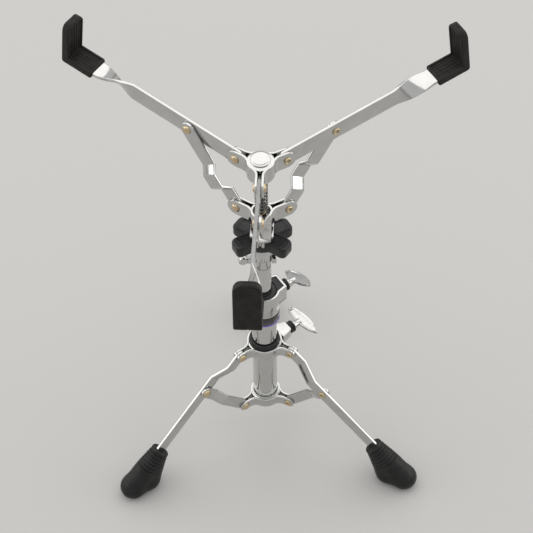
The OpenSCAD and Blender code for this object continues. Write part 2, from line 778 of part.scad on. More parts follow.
// The spring as its plain outer sleeve
module spring() color([0.5, 0.5, 0.5])
    translate([0, 0, spring_z0]) tube(spring_r - spring_wire_r, spring_r + spring_wire_r,
        spring_z1 - spring_z0);

module hub() color(chrome) {
    translate([0, 0, hub_z]) rotate(front_az - rear_az)
        star_bracket(hub_disc_r - strip_t, basket_strip_h, arm_t + 2 * ear_gap, hub_pivot_r);
    translate([0, 0, hub_z1 - hub_plate_t]) cylinder(r = hub_disc_r, h = hub_plate_t);
}

module hub_cap() color(chrome) translate([0, 0, hub_z1]) rotate_extrude() {
    square([hub_cap_r - 0.8, cap_h]);
    square([hub_cap_r, cap_h - 0.8]);
    translate([hub_cap_r - 0.8, cap_h - 0.8]) circle(r = 0.8);
}

module hub_rivets() color(zinc) translate([0, 0, hub_z]) rotate(front_az - rear_az)
    ear_rivets(hub_pivot_r, arm_t + 2 * ear_gap);

// ---------------------------------------------------------------- basket arms

// Frame of an arm: origin on its hub pivot, X out along the arm
module arm_frame(az) at_azimuth(az) translate([hub_pivot_r, 0, hub_z])
    rotate([0, -arm_angle, 0]) children();

// Side view of an L: a level floor centred on z = 0 and an upright that leans outward
function lean_profile(from, corner, floor_t, up_t, up_h) =
    let (s = sin(tip_lean), c = cos(tip_lean), rise = (floor_t - up_t * s) / c)
    [[from, -floor_t / 2], [corner, -floor_t / 2],
     [corner + up_h * s, up_h * c - floor_t / 2],
     [corner + up_h * s - up_t * c, up_h * c + up_t * s - floor_t / 2],
     [corner - up_t * c + rise * s, floor_t / 2], [from, floor_t / 2]];

// Flat outer end of an arm: the run past the twist and the upturned tip
module arm_tip() {
    rotate([90, 0, 0]) linear_extrude(arm_h, center = true)
        polygon(lean_profile(twist_from + twist_len - 0.01, arm_len, arm_t, arm_t, tip_h));
}

module arm(az) color(chrome) arm_frame(az) {
    difference() {
        intersection() {
            translate([-arm_h, -arm_t / 2, -arm_h / 2]) cube([arm_h + twist_from, arm_t, arm_h]);
            rotate([90, 0, 0]) linear_extrude(10, center = true)
                stadium(0, twist_from + arm_h, arm_h);
        }
        cross_bore(0, rivet_r + slide_gap);
        cross_bore(arm_rivet_at, rivet_r);
    }
    translate([twist_from, 0, 0]) rotate([0, 90, 0])
        linear_extrude(twist_len, twist = 90, slices = 18, $fn = 4) square([arm_h, arm_t], center = true);
    arm_tip();
}

// L-shaped rubber pad moulded over the arm's flat tip
module pad(az) color(rubber) arm_frame(az) difference() {
    rotate([90, 0, 0]) linear_extrude(pad_w, center = true)
        polygon(lean_profile(pad_corner - pad_ledge, pad_corner, pad_ledge_t, pad_up_t, pad_up));
    arm_tip();
}

module arm_eyelet(az) color(zinc) arm_frame(az)
    translate([arm_rivet_at, -arm_t / 2, 0]) {
        rolled_end();
        rotate([-90, 0, 0]) cylinder(r = rivet_r, h = arm_t);
    }

// ---------------------------------------------------------------- struts

// Frame of a strut: origin on its arm rivet, X down to the spider
module strut_frame(az) at_azimuth(az) translate([arm_knee_r, 0, arm_knee_z])
    rotate([0, 180 - strut_angle, 0]) children();

strut_plan = [
    [-strut_w / 2, strut_outer_y], [strut_step_from, strut_outer_y],
    [strut_step_from + strut_step_len, strut_mid_y], [strut_back_from, strut_mid_y],
    [strut_back_from + strut_back_len, 0], [strut_len + strut_w / 2, 0]
];

module strut(az) color(chrome) strut_frame(az) difference() {
    edge_bar(strut_plan, strut_t, strut_w, 0, strut_len);
    cross_bore(0, rivet_r);
    cross_bore(strut_len, rivet_r + slide_gap);
}

module strut_rivet(az) color(zinc) strut_frame(az)
    translate([0, strut_outer_y + strut_t / 2, 0]) {
        dome_head();
        rotate([90, 0, 0]) cylinder(r = rivet_r, h = strut_t);
    }

// ---------------------------------------------------------------- nodes

base_tube();
lower_bracket();
lower_rivets();
clamp_band();
clamp_sleeve();
label_band();
leg_collar();
collar_bush();
collar_rivets();
leg(rear_az);  // leg_rear
leg(front_left_az);  // leg_front_left
leg(front_right_az);  // leg_front_right
foot(rear_az);  // foot_rear
foot(front_left_az);  // foot_front_left
foot(front_right_az);  // foot_front_right
leg_eyelet(rear_az);  // leg_eyelet_rear
leg_eyelet(front_left_az);  // leg_eyelet_front_left
leg_eyelet(front_right_az);  // leg_eyelet_front_right
brace(rear_az);  // brace_rear
brace(front_left_az);  // brace_front_left
brace(front_right_az);  // brace_front_right
brace_rivet(rear_az);  // brace_rivet_rear
brace_rivet(front_left_az);  // brace_rivet_front_left
brace_rivet(front_right_az);  // brace_rivet_front_right
collar_wing_bolt();
collar_washer();
clamp_wing_bolt();
clamp_washer();
height_bush();
height_tube();
tilter_base();
tilter_head();
tilter_wing_bolt();
tilter_nut();
basket_rod();
basket_knob();
nut_yoke();
thrust_nut();
spring();
spider();
spider_rivets();
hub();
hub_cap();
hub_rivets();
arm(left_az);  // arm_left
arm(front_az);  // arm_front
arm(right_az);  // arm_right
pad(left_az);  // pad_left
pad(front_az);  // pad_front
pad(right_az);  // pad_right
arm_eyelet(left_az);  // arm_eyelet_left
arm_eyelet(front_az);  // arm_eyelet_front
arm_eyelet(right_az);  // arm_eyelet_right
strut(left_az);  // strut_left
strut(front_az);  // strut_front
strut(right_az);  // strut_right
strut_rivet(left_az);  // strut_rivet_left
strut_rivet(front_az);  // strut_rivet_front
strut_rivet(right_az);  // strut_rivet_right
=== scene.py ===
"""Looks of a folding snare drum stand: chrome tripod, height clamp, tilter and a padded basket.

Sizes are in millimetres and angles in degrees, unless a note says otherwise. Points and vectors
of the scene are in metres.
"""

import json
import logging
from dataclasses import dataclass, field
from enum import Enum
from math import atan2, copysign, cos, degrees, hypot, pi, radians, sin, sqrt, tan
from typing import Callable, Sequence

import bpy
from mathutils import Matrix, Vector


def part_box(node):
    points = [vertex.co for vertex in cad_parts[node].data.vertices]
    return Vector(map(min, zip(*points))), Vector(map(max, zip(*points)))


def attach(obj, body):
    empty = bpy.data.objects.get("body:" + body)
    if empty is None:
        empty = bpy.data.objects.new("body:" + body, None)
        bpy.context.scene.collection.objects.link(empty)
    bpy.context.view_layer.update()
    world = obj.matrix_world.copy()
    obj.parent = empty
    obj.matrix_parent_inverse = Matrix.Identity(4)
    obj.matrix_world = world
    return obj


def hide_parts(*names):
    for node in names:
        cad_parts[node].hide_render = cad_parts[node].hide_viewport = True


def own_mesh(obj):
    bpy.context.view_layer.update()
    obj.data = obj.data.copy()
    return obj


MM = 0.001
PIN_R, DOME_R, DOME_RISE, RIVET_STEPS = 2.5, 4.5, 2.4, 28  # every rivet's sizes
ROLL = ((3.7, 0.0), (3.85, 0.7), (3.6, 1.3), (3.1, 1.6), (2.5, 1.45), (2.0, 0.9))
END_STEPS = 9  # points along a bar's round end
TINY = 0.02  # the least radius, so that no ring closes to a point
PLAY = 0.3  # between riveted bars
LEG_SIDE = -9.0  # how far a leg steps to its side
DIAGONAL = sqrt(0.5)
UP = Vector((0.0, 0.0, 1.0))
LOG = logging.getLogger("stand")

Ring = list[Vector]
Plan = list[tuple[float, float]]
Outline = Callable[[float], Plan]  # a plan that is drawn in by a distance

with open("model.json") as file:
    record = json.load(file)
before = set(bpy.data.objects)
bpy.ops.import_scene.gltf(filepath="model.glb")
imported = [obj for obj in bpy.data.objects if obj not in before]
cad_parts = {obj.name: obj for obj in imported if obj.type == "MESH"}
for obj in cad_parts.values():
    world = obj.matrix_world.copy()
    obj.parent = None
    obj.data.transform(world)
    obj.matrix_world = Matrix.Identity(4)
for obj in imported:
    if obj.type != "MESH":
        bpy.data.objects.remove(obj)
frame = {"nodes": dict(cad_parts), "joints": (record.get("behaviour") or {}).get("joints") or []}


# ---- finishes


class Slot(Enum):
    """Material slots that the record names."""

    CHROME = "chrome"
    ZINC = "zinc"
    DARK_STEEL = "dark_steel"
    BLACK_PLASTIC = "black_plastic"
    PURPLE_BAND = "purple_band"
    RUBBER = "rubber"


def dial(node: bpy.types.Node, values: dict[str, object]) -> None:
    """Set a node's sockets by name."""
    for socket, value in values.items():
        node.inputs[socket].default_value = value


@dataclass(frozen=True)
class Finish:
    """A surface finish with uneven colour, uneven gloss and a fine relief.

    Colours are linear; scales are in cells per metre; relief is in metres.
    """

    name: str
    slot: Slot
    base: tuple[float, float, float]
    worn: tuple[float, float, float]
    metallic: float
    rough_low: float
    rough_high: float
    mottle_scale: float
    relief_scale: float
    relief: float
    relief_strength: float = 0.5
    coat: float = 0.0
    specular: float = 0.5

    def material(self) -> bpy.types.Material:
        """Make the node material once and return it.

        Returns:
            The material, shared by every piece that wears this finish.
        """
        found = bpy.data.materials.get(self.name)
        if found:
            return found
        mat = bpy.data.materials.new(self.name)
        mat.use_nodes = True
        nodes, links = mat.node_tree.nodes, mat.node_tree.links
        shader = nodes["Principled BSDF"]
        dial(shader, {
            "Metallic": self.metallic, "Coat Weight": self.coat, "Coat Roughness": 0.12,
            "Specular IOR Level": self.specular,
        })
        where = nodes.new("ShaderNodeTexCoord")

        def noise(scale: float, detail: float) -> bpy.types.NodeSocket:
            """Add a noise texture that is fixed to the piece.

            Args:
                scale: Noise cells per metre.
                detail: Octaves of the noise.

            Returns:
                The socket that gives its value.
            """
            made = nodes.new("ShaderNodeTexNoise")
            dial(made, {"Scale": scale, "Detail": detail})
            links.new(where.outputs["Object"], made.inputs["Vector"])
            return made.outputs["Fac"]

        mottle = noise(self.mottle_scale, 5.0)
        tone = nodes.new("ShaderNodeValToRGB")
        for stop, place, colour in zip(
            tone.color_ramp.elements, (0.35, 0.78), (self.base, self.worn)
        ):
            stop.position, stop.color = place, (*colour, 1.0)
        links.new(mottle, tone.inputs["Fac"])
        links.new(tone.outputs["Color"], shader.inputs["Base Color"])
        smear = noise(self.mottle_scale * 2.7, 3.0)
        gloss = nodes.new("ShaderNodeMapRange")
        dial(gloss, {
            "From Min": 0.3, "From Max": 0.7, "To Min": self.rough_low, "To Max": self.rough_high,
        })
        links.new(smear, gloss.inputs["Value"])
        links.new(gloss.outputs["Result"], shader.inputs["Roughness"])
        grain = noise(self.relief_scale, 4.0)
        bump = nodes.new("ShaderNodeBump")
        dial(bump, {"Strength": self.relief_strength, "Distance": self.relief})
        links.new(grain, bump.inputs["Height"])
        links.new(bump.outputs["Normal"], shader.inputs["Normal"])
        return mat


CHROME_STRIP = Finish(
    "chrome_strip", Slot.CHROME, (0.56, 0.56, 0.55), (0.50, 0.50, 0.49),
    1.0, 0.10, 0.20, 90.0, 260.0, 0.00012, 0.35,
)
CHROME_TUBE = Finish(
    "chrome_tube", Slot.CHROME, (0.58, 0.58, 0.575), (0.54, 0.54, 0.53),
    1.0, 0.05, 0.11, 60.0, 160.0, 0.00006, 0.25,
)
ZINC_PLATE = Finish(
    "yellow_zinc", Slot.ZINC, (0.62, 0.50, 0.29), (0.50, 0.42, 0.33),
    1.0, 0.22, 0.38, 420.0, 900.0, 0.00008, 0.4,
)
OILED_STEEL = Finish(
    "oiled_steel", Slot.DARK_STEEL, (0.20, 0.195, 0.19), (0.13, 0.125, 0.12),
    1.0, 0.25, 0.42, 300.0, 1200.0, 0.00008, 0.4,
)
BLACK_NYLON = Finish(
    "black_nylon", Slot.BLACK_PLASTIC, (0.0075, 0.0075, 0.008), (0.013, 0.013, 0.0135),
    0.0, 0.26, 0.40, 160.0, 1800.0, 0.00008, 0.4, 0.0, 0.35,
)
BLACK_RING = Finish(
    "black_gloss_ring", Slot.PURPLE_BAND, (0.008, 0.008, 0.010), (0.012, 0.012, 0.014),
    0.0, 0.16, 0.24, 120.0, 700.0, 0.00004, 0.3, 0.4,
)
VIOLET_LINE = Finish(
    "violet_line", Slot.PURPLE_BAND, (0.135, 0.055, 0.47), (0.11, 0.045, 0.40),
    0.0, 0.18, 0.28, 200.0, 700.0, 0.00004, 0.3, 0.4,
)
RUBBER_PAD = Finish(
    "pad_rubber", Slot.RUBBER, (0.012, 0.0112, 0.0105), (0.024, 0.0222, 0.0205),
    0.0, 0.50, 0.68, 140.0, 1500.0, 0.00022, 0.6, 0.0, 0.2,
)
RUBBER_FOOT = Finish(
    "foot_rubber", Slot.RUBBER, (0.0075, 0.0075, 0.0075), (0.015, 0.0145, 0.014),
    0.0, 0.36, 0.52, 120.0, 1300.0, 0.00018, 0.5, 0.0, 0.25,
)


# ---- frames and paths


def turned(start: Vector, toward: Vector, angle: float) -> Vector:
    """Return a direction turned toward another at right angles to it, by radians."""
    return start * cos(angle) + toward * sin(angle)


@dataclass(frozen=True)
class Axes:
    """A local frame: an origin in metres and three unit axes."""

    origin: Vector
    x: Vector
    y: Vector
    z: Vector

    def point(self, x: float, y: float, z: float) -> Vector:
        """Turn local millimetres into a point in metres."""
        return self.origin + (self.x * x + self.y * y + self.z * z) * MM

    def rolled(self, angle: float) -> "Axes":
        """Return the frame turned about its own X axis, by degrees."""
        a = radians(angle)
        return Axes(self.origin, self.x, turned(self.y, self.z, a), turned(self.z, -self.y, a))

    def moved(self, x: float, y: float = 0.0) -> "Axes":
        """Return the frame with its origin at a local point."""
        return Axes(self.point(x, y, 0), self.x, self.y, self.z)

    def along_x(self) -> "Axes":
        """Return the frame that has this one's X as its Z."""
        return Axes(self.origin, self.y, self.z, self.x)

    def along_y(self) -> "Axes":
        """Return the frame that has this one's Y as its Z."""
        return Axes(self.origin, self.z, self.x, self.y)


def upright(z: float) -> Axes:
    """Return level axes on the column at a height in metres."""
    return Axes(Vector((0, 0, z)), Vector((1, 0, 0)), Vector((0, 1, 0)), UP)


def outward(origin: Vector, azimuth: float, tilt: float) -> Axes:
    """Make axes that point away from the column.

    Args:
        origin: Where the frame starts, in metres.
        azimuth: Direction of X in plan.
        tilt: Angle of X above the horizontal.

    Returns:
        Axes with X outward, Y counterclockwise and Z on the upper side.
    """
    a, t = radians(azimuth), radians(tilt)
    radial = Vector((cos(a), sin(a), 0))
    side = Vector((-sin(a), cos(a), 0))
    return Axes(origin, turned(radial, UP, t), side, turned(UP, -radial, t))


def joint_point(name: str) -> Vector:
    """Return where a joint of the record lies, in metres."""
    joint = next(j for j in frame["joints"] if j["name"] == name)
    return Vector(joint["pos_m"])


def stand_of(node: str) -> tuple[Axes, float]:
    """Return level axes at the foot of a CAD node, and its height in millimetres."""
    low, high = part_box(node)
    return upright(low.z), (high.z - low.z) / MM


def slope(start: Vector, end: Vector) -> tuple[float, float]:
    """Return the length in millimetres and the climb in degrees between two points."""
    run, rise = (end - start).xy.length, end.z - start.z
    return hypot(run, rise) / MM, degrees(atan2(rise, run))


def azimuth_of(point: Vector) -> float:
    """Return a point's direction from the column."""
    return degrees(atan2(point.y, point.x))


def directions(kind: str, names: Sequence[str]) -> list[float]:
    """Return the directions in which the hinges of one kind lie."""
    return [azimuth_of(joint_point(f"{kind}_{name}_hinge")) for name in names]


def full_turn(count: int) -> list[float]:
    """Return even steps round a circle, in radians."""
    return [2 * pi * k / count for k in range(count)]


def end_steps(reach: float) -> list[float]:
    """Return distances from the tip of a round end, close together at the tip."""
    return [reach * (1 - cos(pi / 2 * i / END_STEPS)) for i in range(1, END_STEPS + 1)]


def rounded_path(bends: Plan, radius: float) -> Plan:
    """Round the inner corners of a path.

    Args:
        bends: The path's corner points.
        radius: Radius of the bends.

    Returns:
        The path with an arc in place of each inner corner.
    """
    path, steps = [bends[0]], 6
    for before, here, after in zip(bends, bends[1:], bends[2:]):
        p, q, r = Vector(before), Vector(here), Vector(after)
        u, v = (p - q).normalized(), (r - q).normalized()
        turn = pi - u.angle(v)
        reach = radius * tan(turn / 2)
        centre = q + (u + v).normalized() * (radius / cos(turn / 2))
        start, end = q + u * reach - centre, q + v * reach - centre
        for i in range(steps + 1):
            spoke = start.lerp(end, i / steps).normalized() * radius
            path.append(tuple(centre + spoke))
    path.append(bends[-1])
    return path


def tangents(path: Plan) -> list[Vector]:
    """Find the way a path runs at each of its points.

    Args:
        path: The path's points.

    Returns:
        One unit direction for each point.
    """
    found = []
    for i in range(len(path)):
        a, b = Vector(path[max(i - 1, 0)]), Vector(path[min(i + 1, len(path) - 1)])
        found.append((b - a).normalized())
    return found


def round_over(distance: float, radius: float) -> float:
    """Return how far an edge of the given radius stands in, this far from the end."""
    left = max(radius - distance, 0.0)
    return radius - sqrt(max(radius**2 - left**2, 0.0))


def half_chord(reach: float, distance: float) -> float:
    """Return half the width of a round end this far from its tip."""
    return sqrt(max(reach**2 - (reach - min(distance, reach)) ** 2, 0.01))


def eased(value: float) -> float:
    """Return a smooth step from 0 to 1."""
    t = min(max(value, 0.0), 1.0)
    return t * t * (3 - 2 * t)


def blended(a: float, b: float, width: float, swell: float) -> float:
    """Return the lesser of two distances, with a smooth passage where they are close."""
    mix = max(width - abs(a - b), 0.0) / width
    return min(a, b) - mix * mix * swell


# ---- skins


def linked(name: str, data: bpy.types.ID) -> bpy.types.Object:
    """Make an object and link it to the scene.

    Args:
        name: The object's name.
        data: Its mesh, lamp or camera.

    Returns:
        The new object.
    """
    made = bpy.data.objects.new(name, data)
    bpy.context.scene.collection.objects.link(made)
    return made


@dataclass
class Skin:
    """Vertices and faces of one piece, gathered from closed shells."""

    verts: list[Vector] = field(default_factory=list)
    faces: list[tuple[int, ...]] = field(default_factory=list)

    def loft(self, rings: Sequence[Ring], loop: bool = False) -> "Skin":
        """Join rings of equal length into one closed shell.

        Args:
            rings: The rings, in order.
            loop: Whether the last ring joins the first.

        Returns:
            This skin.
        """
        start, count = len(self.verts), len(rings[0])
        for ring in rings:
            self.verts.extend(ring)
        pairs = len(rings) if loop else len(rings) - 1
        for i in range(pairs):
            a, b = start + i * count, start + (i + 1) % len(rings) * count
            for k in range(count):
                n = (k + 1) % count
                self.faces.append((a + k, a + n, b + n, b + k))
        if not loop:
            last = start + (len(rings) - 1) * count
            self.faces.append(tuple(start + k for k in reversed(range(count))))
            self.faces.append(tuple(last + k for k in range(count)))
        return self

    def lathe(self, axes: Axes, profile: Plan, steps: int = 48, loop: bool = False) -> "Skin":
        """Turn a profile about the Z axis of a frame.

        Args:
            axes: The frame; its Z is the turning axis.
            profile: Radius and height of each point.
            steps: Points round the axis.
            loop: Whether the profile closes on itself, as for a tube.

        Returns:
            This skin.
        """
        rings = [
            [axes.point(max(r, TINY) * cos(a), max(r, TINY) * sin(a), z) for a in full_turn(steps)]
            for r, z in profile
        ]
        return self.loft(rings, loop)

    def tube(
        self, axes: Axes, inner: float, outer: float, low: float, high: float,
        edge: float = 0.3, steps: int = 64,
    ) -> "Skin":
        """Add a tube with softened rims.

        Args:
            axes: The frame; the tube lies along its Z.
            inner: Radius of the bore.
            outer: Outer radius.
            low: Height of the lower rim.
            high: Height of the upper rim.
            edge: Width of the softened rims.
            steps: Points round the axis.

        Returns:
            This skin.
        """
        profile = [
            (inner, low + edge), (inner + edge, low), *wall(outer, low, high, edge),
            (inner + edge, high), (inner, high - edge),
        ]
        return self.lathe(axes, profile, steps, loop=True)

    def rod(self, axes: Axes, radius: float, low: float, high: float) -> "Skin":
        """Add a round bar with softened ends."""
        return self.lathe(axes, [(0, low), *wall(radius, low, high, 0.3), (0, high)], 40)

    def stack(self, axes: Axes, outline: Outline, layers: Plan) -> "Skin":
        """Join layers of an outline, each drawn in by its first number, at its second."""
        return self.loft([[axes.point(x, y, z) for x, y in outline(inset)] for inset, z in layers])

    def slab(
        self, axes: Axes, outline: Outline, low: float, high: float, edge: float
    ) -> "Skin":
        """Add a plate with rounded rims.

        Args:
            axes: The frame; the plate lies across its Z.
            outline: The plate's outline.
            low: Height of the lower face.
            high: Height of the upper face.
            edge: Radius of the rims.

        Returns:
            This skin.
        """
        rim = [
            (edge * (1 - sin(a)), edge * (1 - cos(a)))
            for a in (pi / 2 * i / 3 for i in range(4))
        ]
        layers = [(inset, low + lift) for inset, lift in rim]
        layers += [(inset, high - lift) for inset, lift in reversed(rim)]
        return self.stack(axes, outline, layers)

    def place(
        self, name: str, body: str, finish: Finish, *nodes: str, crease: float = 38.0,
    ) -> bpy.types.Object:
        """Make the piece and let it ride on its body.

        Args:
            name: The piece's name.
            body: The body it moves with.
            finish: The finish that it wears.
            nodes: The CAD nodes that it stands for, if any.
            crease: Edges sharper than this many degrees stay sharp.

        Returns:
            The seated piece.
        """
        mesh = bpy.data.meshes.new(name)
        mesh.from_pydata([tuple(v) for v in self.verts], [], self.faces)
        mesh.validate()
        mesh.materials.append(finish.material())
        mesh.shade_smooth()
        mesh.set_sharp_from_angle(angle=radians(crease))
        return seat(linked(name, mesh), body, finish, *nodes)


def wall(radius: float, low: float, high: float, edge: float) -> Plan:
    """Lay out the profile of a round wall with softened ends.

    Args:
        radius: The wall's radius.
        low: Height of the lower end.
        high: Height of the upper end.
        edge: Width of the softened ends.

    Returns:
        Points as radius and height, from low to high.
    """
    soft = edge * 0.3
    return [
        (radius - edge, low), (radius - soft, low + soft), (radius, low + edge),
        (radius, high - edge), (radius - soft, high - soft), (radius - edge, high),
    ]


def section(half_w: float, half_t: float, corner: float) -> Plan:
    """Lay out a rounded rectangle.

    Args:
        half_w: Half its width.
        half_t: Half its thickness.
        corner: Radius of its corners.

    Returns:
        Points as width and thickness.
    """
    c = min(corner, half_w * 0.98, half_t * 0.98)
    w, t = half_w - c, half_t - c
    return [
        (cx + c * cos(a), cy + c * sin(a))
        for cx, cy, first in ((w, t, 0), (-w, t, 90), (-w, -t, 180), (w, -t, 270))
        for a in (radians(first + 90 * i / 3) for i in range(4))
    ]


@dataclass(frozen=True)
class Station:
    """One cross-section of a bar: where it is, how it is turned and how big it is."""

    centre: Vector
    wide: Vector
    thick: Vector
    half_w: float
    half_t: float
    corner: float = 0.7

    def ring(self) -> Ring:
        """Lay out the section.

        Returns:
            Its points in metres.
        """
        return [
            self.centre + (self.wide * w + self.thick * t) * MM
            for w, t in section(self.half_w, self.half_t, self.corner)
        ]


def edge_rings(
    axes: Axes, path: Plan, gaps: Sequence[float], half_w: float, half_t: float, corner: float,
) -> list[Ring]:
    """Return the cross-sections of a bar on edge.

    Args:
        axes: The frame; the path lies across its Z.
        path: The bar's middle line.
        gaps: Distance of each point from the nearest round end.
        half_w: Half the bar's height.
        half_t: Half its thickness.
        corner: Radius of its long edges.

    Returns:
        One ring for each point.
    """
    return [
        Station(
            axes.point(x, y, 0), axes.z, axes.x * -way.y + axes.y * way.x,
            half_chord(half_w, gap), half_t - round_over(gap, corner), corner,
        ).ring()
        for (x, y), way, gap in zip(path, tangents(path), gaps)
    ]


@dataclass(frozen=True)
class FlatBar:
    """A flat bar on edge, bent in plan, with a round start and as a rule a round end."""

    plan: Plan
    thickness: float
    height: float
    round_end: bool = True
    bend_radius: float = 7.0
    corner: float = 0.7

    def _dense(self) -> Plan:
        """Round the plan and add points at the round ends.

        Returns:
            The bar's middle line.
        """
        path = rounded_path(self.plan, self.bend_radius)
        lead = [TINY, 0.15, *end_steps(self.height / 2)]
        x, y = path[0]
        path[1:1] = [(x + d, y) for d in lead]
        if self.round_end:
            x, y = path[-1]
            path[-1:-1] = [(x - d, y) for d in reversed(lead)]
        return path

    def skin(self, axes: Axes) -> Skin:
        """Make the bar.

        Args:
            axes: The frame, with X along the bar and Z across its edge.

        Returns:
            Its closed skin.
        """
        path, reach = self._dense(), self.height / 2
        first, last = path[0][0], path[-1][0]
        gaps = [min(x - first, last - x) if self.round_end else x - first for x, _ in path]
        return Skin().loft(edge_rings(axes, path, gaps, reach, self.thickness / 2, self.corner))


def domed_rivet(skin: Skin, axes: Axes, span: float) -> None:
    """Add a rivet along the Y axis of a frame: dome on the +Y side, rolled end on the other.

    Args:
        skin: The skin that takes the rivet.
        axes: The frame, with its origin in the middle of the span.
        span: Width of the parts it holds.
    """
    half = span / 2
    skin.lathe(axes.along_y(), [
        (0, -half + 2.0), (1.9, -half + 1.8), *((r, -half - h) for r, h in reversed(ROLL)),
        (PIN_R, -half + 0.2), (PIN_R, half - 0.2), (DOME_R - 0.3, half),
        *(
            (DOME_R * cos(radians(a)), half + DOME_RISE * sin(radians(a)))
            for a in range(0, 90, 15)
        ),
        (0, half + DOME_RISE),
    ], RIVET_STEPS)


def pin_head(axes: Axes, thickness: float) -> Skin:
    """Make a rivet's dome and its pin through a bar.

    Args:
        axes: The frame, with its origin on the bar's face and Z out of it.
        thickness: The bar's thickness.

    Returns:
        The rivet's skin.
    """
    depth = thickness - 0.1
    return Skin().lathe(axes, [
        (0, -depth), (PIN_R, -depth), (PIN_R, 0), (DOME_R, 0), (4.35, 0.7), (3.9, 1.35),
        (3.0, 1.9), (1.6, 2.28), (0, DOME_RISE),
    ], RIVET_STEPS)


def rolled_rivet(body: str, node: str, axes: Axes, half: float) -> None:
    """Make the rolled hollow end of a rivet on the -Y side of a bar.

    Args:
        body: The body it rides on.
        node: The CAD node it stands for.
        axes: The frame, with its origin on the bar's middle.
        half: Half the bar's thickness.
    """
    spin = Axes(axes.origin, axes.x, axes.z * -1, axes.y * -1)
    Skin().lathe(spin, [
        (0, -half), (PIN_R, -half), (PIN_R, half), *((r, half + h) for r, h in ROLL), (1.9, 0.2),
        (0, 0.1),
    ], RIVET_STEPS).place(f"{node}_roll", body, ZINC_PLATE, node)


def seat_link(kind: str, name: str, bar: FlatBar, axes: Axes, rivet: Axes) -> None:
    """Seat a flat bar, and the dome of its rivet on the +Y side of the rivet's frame."""
    bar.skin(axes).place(f"{kind}_bar_{name}", f"{kind}_{name}", CHROME_STRIP, f"{kind}_{name}")
    pin_head(rivet.along_y(), bar.thickness).place(
        f"{kind}_dome_{name}", f"{kind}_{name}", ZINC_PLATE, f"{kind}_rivet_{name}"
    )


# ---- seating a piece


def seat(piece: bpy.types.Object, body: str, finish: Finish, *nodes: str) -> bpy.types.Object:
    """Let a piece ride on its body and stand for CAD nodes.

    Args:
        piece: The finished piece.
        body: The body it moves with.
        finish: The finish that it wears; not used here.
        nodes: The CAD nodes that it stands for, if any.

    Returns:
        The piece.
    """
    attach(piece, body)
    if nodes:
        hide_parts(*nodes)
    LOG.info("%s rides on %s and stands for %s", piece.name, body, nodes or "nothing")
    return piece


def seat_softened(node: str, body: str, finish: Finish, width: float) -> None:
    """Seat a copy of a CAD node with broken edges.

    Args:
        node: The node to copy.
        body: The body it moves with.
        finish: The copy's finish.
        width: Width of the broken edges.
    """
    mesh = frame["nodes"][node].data.copy()
    mesh.name = f"{node}_soft"
    mesh.materials.clear()
    mesh.materials.append(finish.material())
    made = linked(f"{node}_soft", mesh)
    weld = made.modifiers.new("weld", "WELD")
    weld.merge_threshold = 0.000002
    flat = made.modifiers.new("flat", "DECIMATE")
    flat.decimate_type = "DISSOLVE"
    flat.angle_limit = radians(0.6)
    bevel = made.modifiers.new("bevel", "BEVEL")
    bevel.width = width * MM
    bevel.segments = 2
    bevel.limit_method = "ANGLE"
    bevel.angle_limit = radians(38)
    bevel.use_clamp_overlap = False
    bpy.context.view_layer.update()
    graph = bpy.context.evaluated_depsgraph_get()
    final = bpy.data.meshes.new_from_object(made.evaluated_get(graph))
    made.modifiers.clear()
    made.data = final
    final.shade_smooth()
    final.set_sharp_from_angle(angle=radians(35))
    seat(made, body, finish, node)


# ---- brackets


